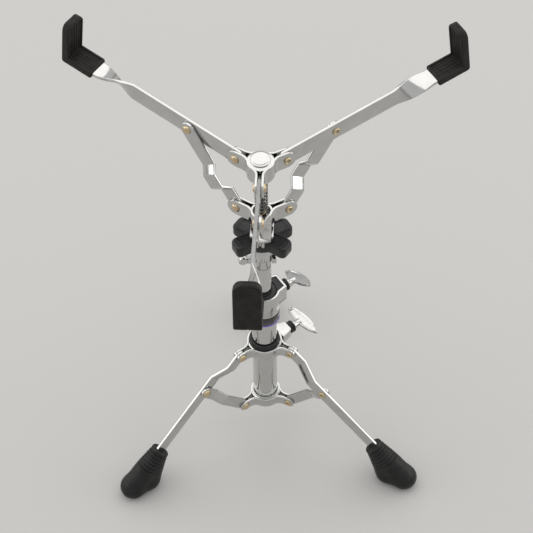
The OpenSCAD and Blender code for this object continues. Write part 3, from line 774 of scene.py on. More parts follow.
@dataclass(frozen=True)
class StarBracket:
    """Three pressed strips round the column, with a pair of riveted ears for each bar."""

    name: str
    body: str
    rivet_node: str
    height: float
    ring_in: float
    gap: float
    pivot_r: float
    strip: float = 2.4
    sweep: float = 9.0
    corner: float = 0.6

    def strip_rings(self, axes: Axes, azimuth: float) -> list[Ring]:
        """Return the sections of the strip from one pair of ears to the next.

        Args:
            axes: Level axes at the bracket's middle height.
            azimuth: Direction of the first pair of ears.

        Returns:
            The strip's cross-sections.
        """
        side = self.gap / 2 + self.strip / 2
        sweep_y = self.gap / 2 + self.strip + self.sweep
        far = self.ring_in + self.strip + self.sweep
        sweep_x = sqrt(far**2 - sweep_y**2)
        meet = degrees(atan2(sweep_y, sweep_x))
        reach = self.height / 2
        tip = self.pivot_r + reach
        bend_steps, ring_steps = 8, 13
        half_path = [(tip - 0.03, side)]
        half_path += [(tip - lead, side) for lead in end_steps(reach)]
        half_path.append((sweep_x + 1.0, side))
        arc_r = self.sweep + self.strip / 2
        for i in range(bend_steps + 1):
            a = radians(-90 - (90 - meet) * i / bend_steps)
            half_path.append((sweep_x + arc_r * cos(a), sweep_y + arc_r * sin(a)))
        ring_r = self.ring_in + self.strip / 2
        middle = [
            (ring_r * cos(a), ring_r * sin(a))
            for a in (
                radians(meet + (120 - 2 * meet) * i / ring_steps) for i in range(1, ring_steps)
            )
        ]
        turn = radians(120)
        other = [
            (x * cos(turn) + y * sin(turn), x * sin(turn) - y * cos(turn))
            for x, y in reversed(half_path)
        ]
        path = half_path + middle + other
        ends = [tip - x for x, _ in half_path[:END_STEPS + 1]]
        gaps = ends + [reach] * (len(path) - 2 * len(ends)) + ends[::-1]
        out = outward(axes.origin, azimuth, 0)
        return edge_rings(out, path, gaps, reach, self.strip / 2, self.corner)

    def build(self, height_m: float, azimuths: Sequence[float]) -> Skin:
        """Make the three strips and the ring behind their ears.

        Args:
            height_m: Height of the bracket's middle, in metres.
            azimuths: Directions of the ears.

        Returns:
            The bracket's skin.
        """
        axes = upright(height_m)
        skin = Skin()
        for azimuth in azimuths:
            skin.loft(self.strip_rings(axes, azimuth))
        lining = self.ring_in + self.strip
        half = self.height / 2 - 0.4
        return skin.tube(axes, self.ring_in + 0.12, lining - 0.12, -half, half)

    def seat_rivets(self, height_m: float, azimuths: Sequence[float]) -> None:
        """Make the three rivets through the ears.

        Args:
            height_m: Height of the bracket's middle, in metres.
            azimuths: Directions of the ears.
        """
        skin = Skin()
        for azimuth in azimuths:
            ears = outward(Vector((0, 0, height_m)), azimuth, 0).moved(self.pivot_r)
            domed_rivet(skin, ears, self.gap + 2 * self.strip)
        skin.place(f"{self.name}_rivets", self.body, ZINC_PLATE, self.rivet_node)


# ---- wing bolts


@dataclass(frozen=True)
class WingBolt:
    """A wing bolt that points away from the column, with a pressed oval wing and a washer."""

    kind: str
    holder: str
    roll: float
    shank_in: float
    shank_r: float = 3.0
    washer: float = 6.0
    neck: float = 7.0
    length: float = 53.0
    width: float = 13.5
    thickness: float = 2.6
    rim: float = 1.3

    def outline(self, inset: float) -> Plan:
        """Lay out the wing's pointed oval.

        Args:
            inset: How far it is drawn in.

        Returns:
            The outline, with Y along the wing.
        """
        half_l, half_w = self.length / 2 - 1.5 - inset * 1.25, self.width / 2 - inset
        points, pointed, full = [], 2.1, 0.78
        for a in full_turn(56):
            along, across = sin(a), cos(a)
            wide = half_w * (1 - abs(along) ** pointed) ** full
            x = copysign(wide, across) if abs(across) > 1e-6 else 0.0
            points.append((x, half_l * along))
        return points

    def wing(self, skin: Skin, axes: Axes) -> None:
        """Add the wing with a raised rim and a dished middle on both faces.

        Args:
            skin: The skin that takes the wing.
            axes: The frame; the wing lies across its Z.
        """
        half, rim = self.thickness / 2, self.rim
        upper = [
            (rim + 2.4, 0.5), (rim + 1.3, 0.42), (rim + 0.5, 0.5), (rim, 0.92),
            (rim * 0.6, 1.0), (rim * 0.2, 0.85), (0.0, 0.4),
        ]
        lower = [(inset, -level) for inset, level in reversed(upper)]
        layers = [(inset, level * half) for inset, level in upper + lower]
        skin.stack(axes, self.outline, layers[::-1])

    def root(self) -> Axes:
        """Return the frame at the bolt's joint, with X along the bolt."""
        pivot = joint_point(f"{self.kind}_wing_turn")
        return outward(pivot, azimuth_of(pivot), 0)

    def seat_all(self) -> None:
        """Seat the bolt, and its washer on the body that holds it."""
        self.build().place(
            f"{self.kind}_wing", f"{self.kind}_wing", CHROME_STRIP, f"{self.kind}_wing_bolt"
        )
        self.grooved_washer().place(
            f"{self.kind}_nut_ring", self.holder, BLACK_NYLON, f"{self.kind}_washer"
        )

    def build(self) -> Skin:
        """Make the bolt, its boss, the wing and the ringed hole at the wing's upper tip.

        Returns:
            The bolt's skin.
        """
        root = self.root().rolled(-self.roll)
        along = root.along_x()
        skin = Skin().rod(along, self.shank_r, -self.shank_in, self.washer)
        start = self.washer
        skin.lathe(along, [
            (0, start), (5.1, start), (5.2, start + 0.5), (4.6, start + 2.2),
            (3.4, start + self.neck - 1.0), (3.6, start + self.neck + 2.2), (2.2, start + 9.6),
            (0, start + 9.8),
        ], 32)
        centre = start + self.neck + self.width / 2 - 1
        flat = root.moved(centre)
        self.wing(skin, flat)
        skin.lathe(flat.moved(0, self.length / 2 - 6.2), [
            (1.1, -1.5), (1.5, -1.75), (2.0, -1.6), (2.1, 0), (2.0, 1.6), (1.5, 1.75), (1.1, 1.5),
        ], 24, loop=True)
        return skin

    def grooved_washer(self) -> Skin:
        """Make the plastic washer, with a groove round its rim.

        Returns:
            The washer's skin.
        """
        bore, outer, t = self.shank_r + 0.05, 6.4, self.washer
        return Skin().lathe(self.root().along_x(), [
            (bore, 0.2), (outer - 0.5, 0.1), (outer, 0.7), (outer, t * 0.34),
            (outer - 0.8, t * 0.44), (outer - 0.8, t * 0.56), (outer, t * 0.66), (outer, t - 0.7),
            (outer - 0.5, t - 0.1), (bore, t - 0.2),
        ], 40, loop=True)


# ---- tripod


@dataclass
class Tripod:
    """The base: tube, lower bracket, sliding collar, three legs and their braces."""

    legs: tuple[str, ...] = ("rear", "front_left", "front_right")
    leg_tilt: float = -45.0
    leg_bends: tuple[float, float] = (17.0, 38.0)
    leg_length: float = 189.0
    leg_t: float = 3.0
    brace_t: float = 2.5
    bar_height: float = 12.5
    leg_rivet: float = 56.0
    brace_bends: tuple[float, float] = (28.0, 14.0)
    tube_r: float = 12.7
    collar: StarBracket = StarBracket(
        "collar_star", "collar", "collar_rivets", 12.0, 15.7, 3.3, 30.0
    )
    lower: StarBracket = StarBracket(
        "lower_star", "base", "lower_rivets", 12.0, 13.6, 2.8, 28.0
    )

    def build_column(self) -> None:
        """Make the base tube, the lower bracket and the collar with its bush."""
        axes, tall = stand_of("base_tube")
        tube = Skin().tube(axes, 11.2, self.tube_r, 0, tall, 0.4, 96)
        tube.place("base_tube_chrome", "base", CHROME_TUBE, "base_tube")
        turns = directions("leg", self.legs)
        foot_z = joint_point("brace_rear_hinge").z
        skin = self.lower.build(foot_z, turns)
        skin.tube(upright(foot_z), self.tube_r + 0.02, 14.6, -5.9, 6.0)
        skin.tube(upright(foot_z), self.tube_r + 0.02, 13.6, 5.0, 7.5, 0.4)
        skin.place("lower_star", "base", CHROME_STRIP, "lower_bracket")
        self.lower.seat_rivets(foot_z, turns)
        self.build_collar(turns)

    def build_collar(self, turns: Sequence[float]) -> None:
        """Make the sliding collar, its filled nose, bush, rivets and wing bolt.

        Args:
            turns: Directions of the legs.
        """
        z = joint_point("leg_rear_hinge").z
        nose = azimuth_of(joint_point("collar_wing_turn"))
        skin = self.collar.build(z, turns)
        out = outward(Vector((0, 0, z)), nose, 0)

        def wedge(inset: float) -> Plan:
            """Return the nose's plan, drawn in."""
            half = [
                (17.2, 9.6 - inset), (23.6, 8.0 - inset), (28.6, 6.4 - inset),
                (30.0 - inset, 5.4 - inset),
            ]
            return [(x, -y) for x, y in half] + half[::-1]

        skin.slab(out, wedge, -6.0, 6.0, 0.7)
        skin.place("collar_star", "collar", CHROME_STRIP, "leg_collar")
        self.collar.seat_rivets(z, turns)
        bush = Skin().lathe(upright(z), [
            (12.78, -5.9), (15.4, -5.9), (15.68, -5.5), (15.68, 8.6), (15.2, 9.8), (15.0, 10.6),
            (14.2, 11.0), (13.3, 11.0), (12.9, 10.4), (12.78, 9.4),
        ], 72, loop=True)
        bush.place("collar_sleeve", "collar", BLACK_NYLON, "collar_bush")
        WingBolt("collar", "collar", roll=8.0, shank_in=17.0).seat_all()

    def build_legs(self) -> None:
        """Make the three legs with their feet and the three braces."""
        foot = Foot()
        start, end = self.leg_bends
        plan = [
            (-self.bar_height / 2, 0), (start, 0), (end, LEG_SIDE), (self.leg_length, LEG_SIDE)
        ]
        bar = FlatBar(plan, self.leg_t, self.bar_height, round_end=False)
        for name in self.legs:
            pivot = joint_point(f"leg_{name}_hinge")
            azimuth = azimuth_of(pivot)
            axes = outward(pivot, azimuth, self.leg_tilt)
            bar.skin(axes).place(f"leg_bar_{name}", f"leg_{name}", CHROME_STRIP, f"leg_{name}")
            foot.build(name, axes)
            self.build_brace(name, azimuth, axes)

    def build_brace(self, name: str, azimuth: float, leg: Axes) -> None:
        """Make one brace and the rivet that joins it to its leg.

        Args:
            name: The leg's name.
            azimuth: The leg's direction.
            leg: The leg's frame.
        """
        pivot = joint_point(f"brace_{name}_hinge")
        length, tilt = slope(pivot, leg.point(self.leg_rivet, 0, 0))
        axes = outward(pivot, azimuth, tilt)
        side = LEG_SIDE + self.leg_t / 2 + PLAY + self.brace_t / 2
        reach = self.bar_height / 2
        start, end = (length - bend for bend in self.brace_bends)
        plan = [(-reach, 0), (start, 0), (end, side), (length + reach, side)]
        bar = FlatBar(plan, self.brace_t, self.bar_height)
        seat_link("brace", name, bar, axes, axes.moved(length, side + self.brace_t / 2))
        joint = leg.moved(self.leg_rivet, LEG_SIDE)
        rolled_rivet(f"leg_{name}", f"leg_eyelet_{name}", joint, self.leg_t / 2)


@dataclass
class Foot:
    """A rubber foot: grooved sleeve, smooth boot and a level toe with a scalloped tread."""

    leg_length: float = 191.5
    length: float = 52.0
    top_r: float = 9.0
    boot_r: float = 12.25
    toe_r: float = 12.5
    toe: float = 18.0
    rise: float = 11.3
    grooves: int = 6
    groove_depth: float = 1.3
    groove_floor: float = 0.25
    groove_flank: float = 1.05
    pitch: float = 4.0
    skirt_start: float = 3.5
    skirt_drop: float = 1.2
    skirt_r: float = 8.7
    skirt_flare: float = 3.7
    skirt_blend: tuple[float, float] = (4.0, 0.8)
    tread_lobes: int = 20
    tread_depth: float = 0.75
    tread_top: float = 5.0
    tread_fade: float = 3.0
    toe_blend: tuple[float, float] = (5.0, 1.25)
    turns: int = 72
    rows: int = 120
    grid: list[tuple[float, list[float]]] = field(default_factory=list)

    def radius(self, x: float) -> float:
        """Return the sleeve's radius this far from its upper rim, without its grooves."""
        share = min(1.0, max(x, 0.0) / (self.length * 0.7))
        return self.top_r + (self.boot_r - self.top_r) * sin(pi / 2 * share)

    def groove(self, x: float) -> float:
        """Find how deep the grooves cut.

        Args:
            x: Distance from the sleeve's upper rim.

        Returns:
            The depth, which is 0 between grooves.
        """
        if not self.pitch * 0.5 < x < self.pitch * (self.grooves + 0.5):
            return 0.0
        gap = abs((x / self.pitch + 0.5) % 1.0 - 0.5) * self.pitch
        return self.groove_depth * (1 - eased((gap - self.groove_floor) / self.groove_flank))

    def skirt(self, x: float, y: float, z: float) -> float:
        """Find a signed distance to the tapered skirt between the rim and the toe's end.

        Args:
            x: Distance down the leg from the centre of the round end.
            y: Distance to the side.
            z: Distance to the leg's upper side.

        Returns:
            The distance, negative inside.
        """
        from_x, back = self.skirt_start - self.length, -self.toe * DIAGONAL
        run, drop = back - from_x, back + self.skirt_drop
        below = z + self.skirt_drop
        t = min(max(((x - from_x) * run + below * drop) / (run**2 + drop**2), 0.0), 1.0)
        radius = self.skirt_r + self.skirt_flare * sin(pi / 2 * t)
        across = (x - from_x - run * t) ** 2 + (below - drop * t) ** 2
        return sqrt(across + y * y) - radius

    def depth(self, x: float, y: float, z: float) -> float:
        """Return a signed distance to the foot, negative inside, in its own frame.

        Args:
            x: Distance down the leg from the centre of the round end.
            y: Distance to the side.
            z: Distance to the leg's upper side.

        Returns:
            The distance; the floor plane is included.
        """
        level, height = (x + z) * DIAGONAL, (z - x) * DIAGONAL
        if x < 0:
            sleeve = hypot(y, z) - self.radius(x + self.length)
            boot = blended(sleeve, self.skirt(x, y, z), *self.skirt_blend)
            boot += self.groove(x + self.length)
        else:
            boot = sqrt(x * x + y * y + z * z) - self.boot_r
        along = min(max(-level, 0.0), self.toe)
        low, tread = height + self.rise, 0.0
        if low < self.tread_top:
            around = atan2(y, level + self.toe / 2)
            wave = 0.5 + 0.5 * cos(around * self.tread_lobes)
            tread = self.tread_depth * wave * eased((self.tread_top - low) / self.tread_fade)
        toe = sqrt((level + along) ** 2 + y * y + height * height) - self.toe_r + tread
        return max(blended(boot, toe, *self.toe_blend), -low)

    def reach(self, x: float, angle: float) -> float:
        """Find how far the foot reaches from its axis.

        Args:
            x: Distance down the leg from the centre of the round end.
            angle: Angle round the axis from the leg's upper side, in radians.

        Returns:
            The distance from the axis to the surface.
        """
        cy, cz = sin(angle), cos(angle)
        far, step, halvings = 32.0, 0.5, 9
        while far > 0.0 and self.depth(x, far * cy, far * cz) > 0.0:
            far -= step
        near, away = max(far, 0.0), far + step
        for _ in range(halvings):
            mid = (near + away) / 2
            if self.depth(x, mid * cy, mid * cz) > 0.0:
                away = mid
            else:
                near = mid
        return near

    def measure(self) -> None:
        """Work out the grid of radii once for all three feet."""
        start, end = -self.length, self.toe_r
        even, nose = 0.86, 4.0  # share of even rows; the rest crowd into the nose
        for i in range(self.rows + 1):
            share = i / self.rows
            if share < even:
                x = start + TINY + (end - nose - start) * share / even
            else:
                x = end - nose + (nose - 0.03) * sin(pi / 2 * (share - even) / (1 - even))
            self.grid.append((x, [self.reach(x, a) for a in full_turn(self.turns)]))

    def build(self, name: str, leg: Axes) -> None:
        """Make one foot.

        Args:
            name: The leg's name.
            leg: The leg's frame.
        """
        if not self.grid:
            self.measure()
        rim_x, rim = self.grid[0]
        rings = [
            self._ring(leg, rim_x + sunk, [r * share for r in rim])
            for share, sunk in ((0.25, 1.2), (0.93, 0.0))
        ]
        rings += [self._ring(leg, x, radii) for x, radii in self.grid]
        Skin().loft(rings).place(
            f"rubber_foot_{name}", f"leg_{name}", RUBBER_FOOT, f"foot_{name}", crease=50.0
        )

    def _ring(self, leg: Axes, x: float, radii: Sequence[float]) -> Ring:
        """Lay out one ring of the foot.

        Args:
            leg: The leg's frame.
            x: Distance down the leg from the centre of the round end.
            radii: The ring's radii, all the way round.

        Returns:
            The ring in metres.
        """
        return [
            leg.point(self.leg_length + x, LEG_SIDE + r * sin(a), r * cos(a))
            for a, r in zip(full_turn(self.turns), radii)
        ]


# ---- height clamp and tilter


@dataclass
class HeightColumn:
    """The clamp on the base tube, the height tube in it and the tilter on top."""

    band_r: float = 16.0
    tube_r: float = 8.0
    tube_in: float = 6.8

    def build_clamp(self) -> None:
        """Make the clamp band, its plastic filling, the ring round the skirt and the wing bolt."""
        for node, finish, edge in (
            ("clamp_band", CHROME_STRIP, 0.45), ("clamp_sleeve", BLACK_NYLON, 0.35),
        ):
            seat_softened(node, "base", finish, edge)
        axes, tall = stand_of("label_band")
        ring = Skin().tube(axes, 15.6, self.band_r, 2.3, tall, 0.2, 96)
        ring.place("skirt_ring", "base", BLACK_RING, "label_band")
        line = Skin().tube(axes, 15.6, self.band_r + 0.05, 0.1, 2.25, 0.2, 96)
        line.place("skirt_line", "base", VIOLET_LINE)
        WingBolt("clamp", "base", roll=27.0, shank_in=8.5).seat_all()

    def build_tube(self) -> None:
        """Make the guide bush and the height tube."""
        axes, top = stand_of("height_bush")
        bush = Skin().lathe(axes, [
            (8.05, 0.3), (8.4, 0), (10.9, 0), (11.15, 0.3), (11.15, top - 2.5), (12.4, top - 2.4),
            (12.7, top - 2.0), (12.7, top - 0.5), (12.3, top), (8.6, top), (8.05, top - 0.5),
        ], 72, loop=True)
        bush.place("guide_bush", "swivel", BLACK_NYLON, "height_bush")
        axes, tall = stand_of("height_tube")
        tube = Skin().tube(axes, self.tube_in, self.tube_r, 0, tall, 0.3, 80)
        tube.place("rising_tube", "height_tube", CHROME_TUBE, "height_tube")

    def build_tilter(self) -> None:
        """Make the tilter's tongue, fork, nut and wing bolt."""
        for node, body in (("tilter_base", "height_tube"), ("tilter_head", "basket")):
            seat_softened(node, body, CHROME_TUBE, 0.5)
        seat_softened("tilter_nut", "basket", CHROME_STRIP, 0.35)
        pivot = joint_point("tilter_wing_turn")
        axes = Axes(pivot, Vector((-1, 0, 0)), Vector((0, -1, 0)), UP)
        along = axes.along_x()
        skin = Skin().rod(along, 2.5, -21.0, 3.0)
        skin.lathe(along, [
            (0, 0.1), (4.6, 0.1), (5.0, 0.6), (4.9, 1.6), (3.8, 4.5), (3.3, 8.2), (0, 8.4),
        ], 32)

        def leaf(inset: float) -> Plan:
            """Return the small leaf's plan, drawn in; it is narrower toward the bolt."""
            r = 4.5 - inset
            return [
                (10.5 - r * cos(a), r * sin(a) * (1.0 if cos(a) < 0 else 0.86))
                for a in full_turn(32)
            ]

        stand = Axes(axes.point(0, 0, 1.5), axes.x, axes.z, axes.y * -1)
        skin.slab(stand, leaf, -4.2, 4.2, 1.1)
        skin.place("tilt_wing", "tilter_wing", CHROME_STRIP, "tilter_wing_bolt")


# ---- basket


@dataclass
class Basket:
    """The rod, knob, spider, hub, spring and the three padded arms with their struts."""

    arms: tuple[str, ...] = ("left", "front", "right")
    arm_tilt: float = 12.0
    arm_rivet: float = 52.0
    hub: StarBracket = StarBracket("hub_star", "basket", "hub_rivets", 18.0, 10.4, 3.5, 25.0)
    spider: StarBracket = StarBracket(
        "spider_star", "spider", "spider_rivets", 18.0, 8.0, 3.1, 26.5
    )
    strut_bends: tuple[float, ...] = (40.0, 48.0, 62.0, 71.0)
    strut_step: float = 6.4
    strut_t: float = 2.8
    strut_height: float = 15.0
    knob_body: float = 15.0
    knob_corner: float = 4.2
    knob_reach: float = 30.0
    lobe: float = 16.0
    lobe_turn: float = 31.0
    rest_turn: float = -7.5
    coils: int = 13
    coil_steps: int = 28
    coil_r: float = 5.4
    wire_r: float = 0.78

    def build_hub(self) -> None:
        """Make the hub, its cap and the spider, with their rivets."""
        turns = directions("arm", self.arms)
        z = joint_point("arm_left_hinge").z
        skin = self.hub.build(z, turns)
        skin.lathe(upright(z), [
            (0, 6.0), (12.1, 6.0), (12.72, 6.5), (12.78, 8.0), (12.5, 8.75), (11.8, 9.05),
            (0, 9.05),
        ], 80)
        skin.place("hub_star", "basket", CHROME_STRIP, "hub")
        cap = Skin().lathe(upright(z), [
            (0, 8.8), (9.3, 8.8), (9.3, 10.1), (9.05, 10.7), (8.5, 11.0), (7.6, 10.9), (7.0, 10.6),
            (5.0, 10.75), (0, 10.85),
        ], 80)
        cap.place("hub_button", "basket", CHROME_STRIP, "hub_cap")
        self.hub.seat_rivets(z, turns)
        low = joint_point("strut_left_hinge").z
        skin = self.spider.build(low, turns)
        skin.tube(upright(low), 4.3, 9.2, -8.9, -6.0, 0.3)
        skin.place("spider_star", "spider", CHROME_STRIP, "spider")
        self.spider.seat_rivets(low, turns)

    def build_rod(self) -> None:
        """Make the threaded rod, the spring round it and the brass-coloured thrust nut."""
        axes, tall = stand_of("basket_rod")
        lead, crest, depth, steps = 1.6, 2.98, 0.42, 24
        rows = int(tall / lead * 6)
        rings = []
        for z in (tall * i / rows for i in range(rows + 1)):
            ring = []
            for k, a in enumerate(full_turn(steps)):
                phase = (z / lead - k / steps) % 1.0
                r = crest - depth * (1 - abs(phase * 2 - 1))
                ring.append(axes.point(r * cos(a), r * sin(a), z))
            rings.append(ring)
        Skin().loft(rings).place("threaded_rod", "basket", OILED_STEEL, "basket_rod", crease=60.0)
        self.build_spring()
        seat_softened("thrust_nut", "spider", ZINC_PLATE, 0.3)
        seat_softened("nut_yoke", "spider", CHROME_STRIP, 0.5)

    def build_spring(self) -> None:
        """Make the spring as a coil on a mesh of its own."""
        axes, tall = stand_of("spring")
        count = self.coils * self.coil_steps
        wire = self.wire_r
        rings = []
        for i in range(count + 1):
            turn = 2 * pi * (i / self.coil_steps)
            out = turned(axes.x, axes.y, turn)
            centre = axes.point(0, 0, wire + (tall - 2 * wire) * (i / count))
            rings.append([
                centre
                + out * (self.coil_r + wire * cos(a)) * MM
                + UP * wire * sin(a) * MM
                for a in full_turn(8)
            ])
        spring = Skin().loft(rings).place(
            "coil_spring", "basket", OILED_STEEL, "spring", crease=60.0
        )
        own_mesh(spring)

    def knob_outline(self, inset: float) -> Plan:
        """Lay out the four-lobed plan of the knob.

        Args:
            inset: How far it is drawn in.

        Returns:
            The plan: a round body and four lobes, run together by a sum of high powers.
        """
        power, excess = 16.0, 0.25
        corner, half, lean = self.knob_corner, self.lobe / 2, self.lobe_turn
        points = []
        for a in full_turn(180):
            total = self.knob_body**power
            for lobe in (lean, 180 - lean, 180 + lean, -lean):
                d = a - radians(lobe)
                across, along = abs(sin(d)), cos(d)
                if along <= 0:
                    continue
                side, end = half / max(across, 1e-6), self.knob_reach / along
                if side * along <= self.knob_reach - corner:
                    reach = side
                elif end * across <= half - corner:
                    reach = end
                else:
                    cx, cy = self.knob_reach - corner, half - corner
                    skew = cx * across - cy * along
                    reach = cx * along + cy * across + sqrt(max(corner**2 - skew**2, 0.0))
                total += reach**power
            r = total ** (1 / power) - excess - inset
            turn = a + radians(self.rest_turn)
            points.append((r * cos(turn), r * sin(turn)))
        return points

    def build_knob(self) -> None:
        """Make the lobed knob that drives the spider."""
        axes, top = stand_of("basket_knob")
        skin = Skin().stack(axes, self.knob_outline, [
            (15.0, 5.5), (2.6, 5.5), (1.2, 5.8), (0.35, 6.6), (0.0, 7.8), (0.0, 15.6),
            (0.25, 16.8), (0.9, 17.8), (1.8, 18.3), (3.0, top), (4.4, top - 0.1),
            (5.4, top - 0.9), (7.5, top - 1.3), (10.5, top - 1.3),
        ])
        skin.lathe(axes, [
            (3.1, 0.1), (8.6, 0.1), (9.3, 0.6), (9.5, 1.4), (9.5, 5.2), (10.2, 6.2), (3.1, 6.2),
        ], 56, loop=True)
        skin.place("lobed_knob", "knob", BLACK_NYLON, "basket_knob", crease=50.0)

    def build_arms(self) -> None:
        """Make the arms, pads and struts."""
        for name in self.arms:
            pivot = joint_point(f"arm_{name}_hinge")
            azimuth = azimuth_of(pivot)
            axes = outward(pivot, azimuth, self.arm_tilt)
            Arm(name, axes).build()
            Pad(name, axes).build()
            joint = axes.moved(self.arm_rivet)
            rolled_rivet(f"arm_{name}", f"arm_eyelet_{name}", joint, Arm.thickness / 2)
            self.build_strut(name, azimuth, axes)

    def build_strut(self, name: str, azimuth: float, arm: Axes) -> None:
        """Make one stepped strut from an arm's rivet down to the spider.

        Args:
            name: The arm's name.
            azimuth: The arm's direction.
            arm: The arm's frame.
        """
        pivot = joint_point(f"strut_{name}_hinge")
        knee = arm.point(self.arm_rivet, 0, 0)
        length, climb = slope(pivot, knee)
        axes = outward(knee, azimuth, 180 + climb)
        side = Arm.thickness / 2 + PLAY + self.strut_t / 2
        reach, far = self.strut_height / 2, side + self.strut_step
        a, b, c, d = self.strut_bends
        plan = [(-reach, side), (a, side), (b, far), (c, far), (d, 0), (length + reach, 0)]
        bar = FlatBar(plan, self.strut_t, self.strut_height, bend_radius=2.6)
        seat_link("strut", name, bar, axes, axes.moved(0, side + self.strut_t / 2))


@dataclass(frozen=True)
class Arm:
    """A basket arm: a bar on edge that twists flat and turns up inside its pad."""

    name: str
    axes: Axes
    height: float = 18.0
    thickness: float = 3.2
    twist_from: float = 116.5
    twist_len: float = 33.0
    length: float = 185.5
    bend: float = 4.0
    bend_r: float = 2.6
    tip: float = 30.0
    lean: float = 3.0

    def build(self) -> None:
        """Make the arm."""
        axes, reach, half_t = self.axes, self.height / 2, self.thickness / 2
        xs = [-reach + 0.03, -reach + 0.2]
        xs += [-reach * cos(pi / 2 * i / 10) for i in range(1, 11)]
        xs += [20, 40, 60, 80, 100, 112]
        xs += [self.twist_from - 3 + (self.twist_len + 6) * i / 22 for i in range(23)]
        xs += [158, 170, self.length - self.bend]
        stations = []
        for x in xs:
            share = min(max((x - self.twist_from + 2) / (self.twist_len + 4), 0.0), 1.0)
            turn = pi / 2 * (0.7 * share + 0.3 * eased(share))
            stations.append(Station(
                axes.point(x, 0, 0), turned(axes.z, axes.y, turn), turned(axes.y, -axes.z, turn),
                sqrt(max(reach**2 - min(x, 0.0) ** 2, 0.01)),
                half_t - round_over(x + reach, Station.corner),
            ))
        lean = radians(90 - self.lean)
        for a in (lean * i / 6 for i in range(1, 7)):
            centre = axes.point(
                self.length - self.bend + self.bend_r * sin(a), 0,
                self.bend_r * (1 - cos(a)),
            )
            down = turned(-axes.z, axes.x, a)
            stations.append(Station(centre, axes.y, down, reach, half_t))
        end = stations[-1]
        rise = turned(axes.x, axes.z, lean) * self.tip * MM
        stations.append(Station(end.centre + rise, end.wide, end.thick, reach, half_t))
        skin = Skin().loft([s.ring() for s in stations])
        skin.place(f"arm_bar_{self.name}", f"arm_{self.name}", CHROME_STRIP, f"arm_{self.name}")


@dataclass(frozen=True)
class Pad:
    """An L-shaped rubber pad with ribbed inner faces and a rounded lip."""

    name: str
    axes: Axes
    corner: float = 187.65
    half_w: float = 11.5
    ledge: float = 33.0
    ledge_t: float = 7.5
    up: float = 48.0
    up_t: float = 7.5
    lean: float = 3.0
    rim: float = 2.4
    ribs: int = 5
    rib_depth: float = 1.5
    edge: float = 1.5
    bow: float = 9.0
    start_r: float = 1.6
    top_r: float = 2.9
    line: float = 0.35

    def face(self, w: float, depth: float) -> float:
        """Find how deep the ribbed inner face lies.

        Args:
            w: Place across the face, from its middle.
            depth: Depth of the ribbed recess.

        Returns:
            The depth, which is 0 on the rims.
        """
        inner = self.half_w - self.rim
        if abs(w) >= inner:
            return 0.0
        flank = min(1.0, (inner - abs(w)) / 0.5)
        wave = 0.5 + 0.5 * cos(pi * w * self.ribs / inner)
        return depth * flank * (1 - 0.62 * wave)

    def ring(
        self, inner: tuple[float, float], way: tuple[float, float], thick: float,
        inset: float, narrow: float, depth: float, line: float,
    ) -> Ring:
        """Return one cross-section of the pad.

        Args:
            inner: Point on the inner face, as x and z in millimetres.
            way: Unit direction from the inner to the outer face.
            thick: Thickness of the pad here.
            inset: How far the section is drawn in on all sides.
            narrow: How far its width is drawn in besides.
            depth: Depth of the ribbed recess.
            line: Depth of the moulding line down the outer face.

        Returns:
            The ring in metres.
        """
        half = self.half_w - inset - narrow
        c = min(self.edge, half * 0.5, thick * 0.3)
        arcs = [radians(a) for a in (22.5, 45, 67.5)]
        across, along = 45, 16
        shape: Plan = []
        for i in range(across):
            w = -(half - c) + 2 * (half - c) * i / (across - 1)
            shape.append((w, inset + self.face(w, depth)))
        side = [(half - c + c * sin(t), inset + c - c * cos(t)) for t in arcs]
        side += [(half, inset + c), (half, thick - inset - c)]
        side += [(half - c + c * cos(t), thick - inset - c + c * sin(t)) for t in arcs]
        shape += side
        for i in range(along + 1):
            dip = line if i == along // 2 else 0.0
            shape.append(((half - c) - 2 * (half - c) * i / along, thick - inset - dip))
        shape += [(-w, s) for w, s in reversed(side)]
        return [
            self.axes.point(inner[0] + way[0] * s, w, inner[1] + way[1] * s) for w, s in shape
        ]

    def build(self) -> None:
        """Make the pad: the ledge, the corner and the upright part with its bowed top."""
        lean = radians(self.lean)
        s, c = sin(lean), cos(lean)
        rise = (self.ledge_t - self.up_t * s) / c
        knee_x = self.corner - self.up_t * c + rise * s
        top_z = self.ledge_t / 2
        start = self.corner - self.ledge
        rings = []
        for d in (0.02, 0.3, 0.8, 1.6, 2.6, 3.6, 6, 9, 12, 15, 18, 21, knee_x - start - 1.2):
            depth = self.rib_depth * eased((d - 1.8) / 1.6)
            rings.append(self.ring(
                (start + d, top_z), (0.0, -1.0), self.ledge_t, round_over(d, self.start_r), 0.0,
                depth, self.line,
            ))
        turn = pi / 2 - lean
        for i in range(9):
            a = turn * i / 8
            low = self.ledge_t / max(cos(a), 1e-6)
            high = self.up_t / max(cos(turn - a), 1e-6)
            thick = (low**-7 + high**-7) ** (-1 / 7) if 0 < i < 8 else (low, high)[i == 8]
            rings.append(self.ring(
                (knee_x, top_z), (sin(a), -cos(a)), thick, 0.0, 0.0, self.rib_depth,
                self.line,
            ))
        tall, bow = self.up - rise, self.bow
        marks = [tall - bow - v for v in (28, 24, 20, 16, 12, 8, 4, 2, 1, 0.5, 0)]
        marks += [tall - bow * (1 - sin(pi / 2 * i / 14)) for i in range(1, 15)]
        for d in marks:
            left = max(tall - d, TINY)
            inset = round_over(left, self.top_r)
            lip = 0.5 if abs(left - bow - 0.5) < 0.1 else 0.0
            rings.append(self.ring(
                (knee_x + s * (tall - left), top_z + c * (tall - left)), (c, -s),
                self.up_t - lip, inset, max(round_over(left, bow) - inset, 0.0),
                self.rib_depth * eased((left - 3.4) / 2.2), self.line if left > bow + 0.6 else 0.0,
            ))
        Skin().loft(rings).place(
            f"arm_pad_{self.name}", f"arm_{self.name}", RUBBER_PAD, f"pad_{self.name}",
            crease=55.0,
        )


# ---- studio


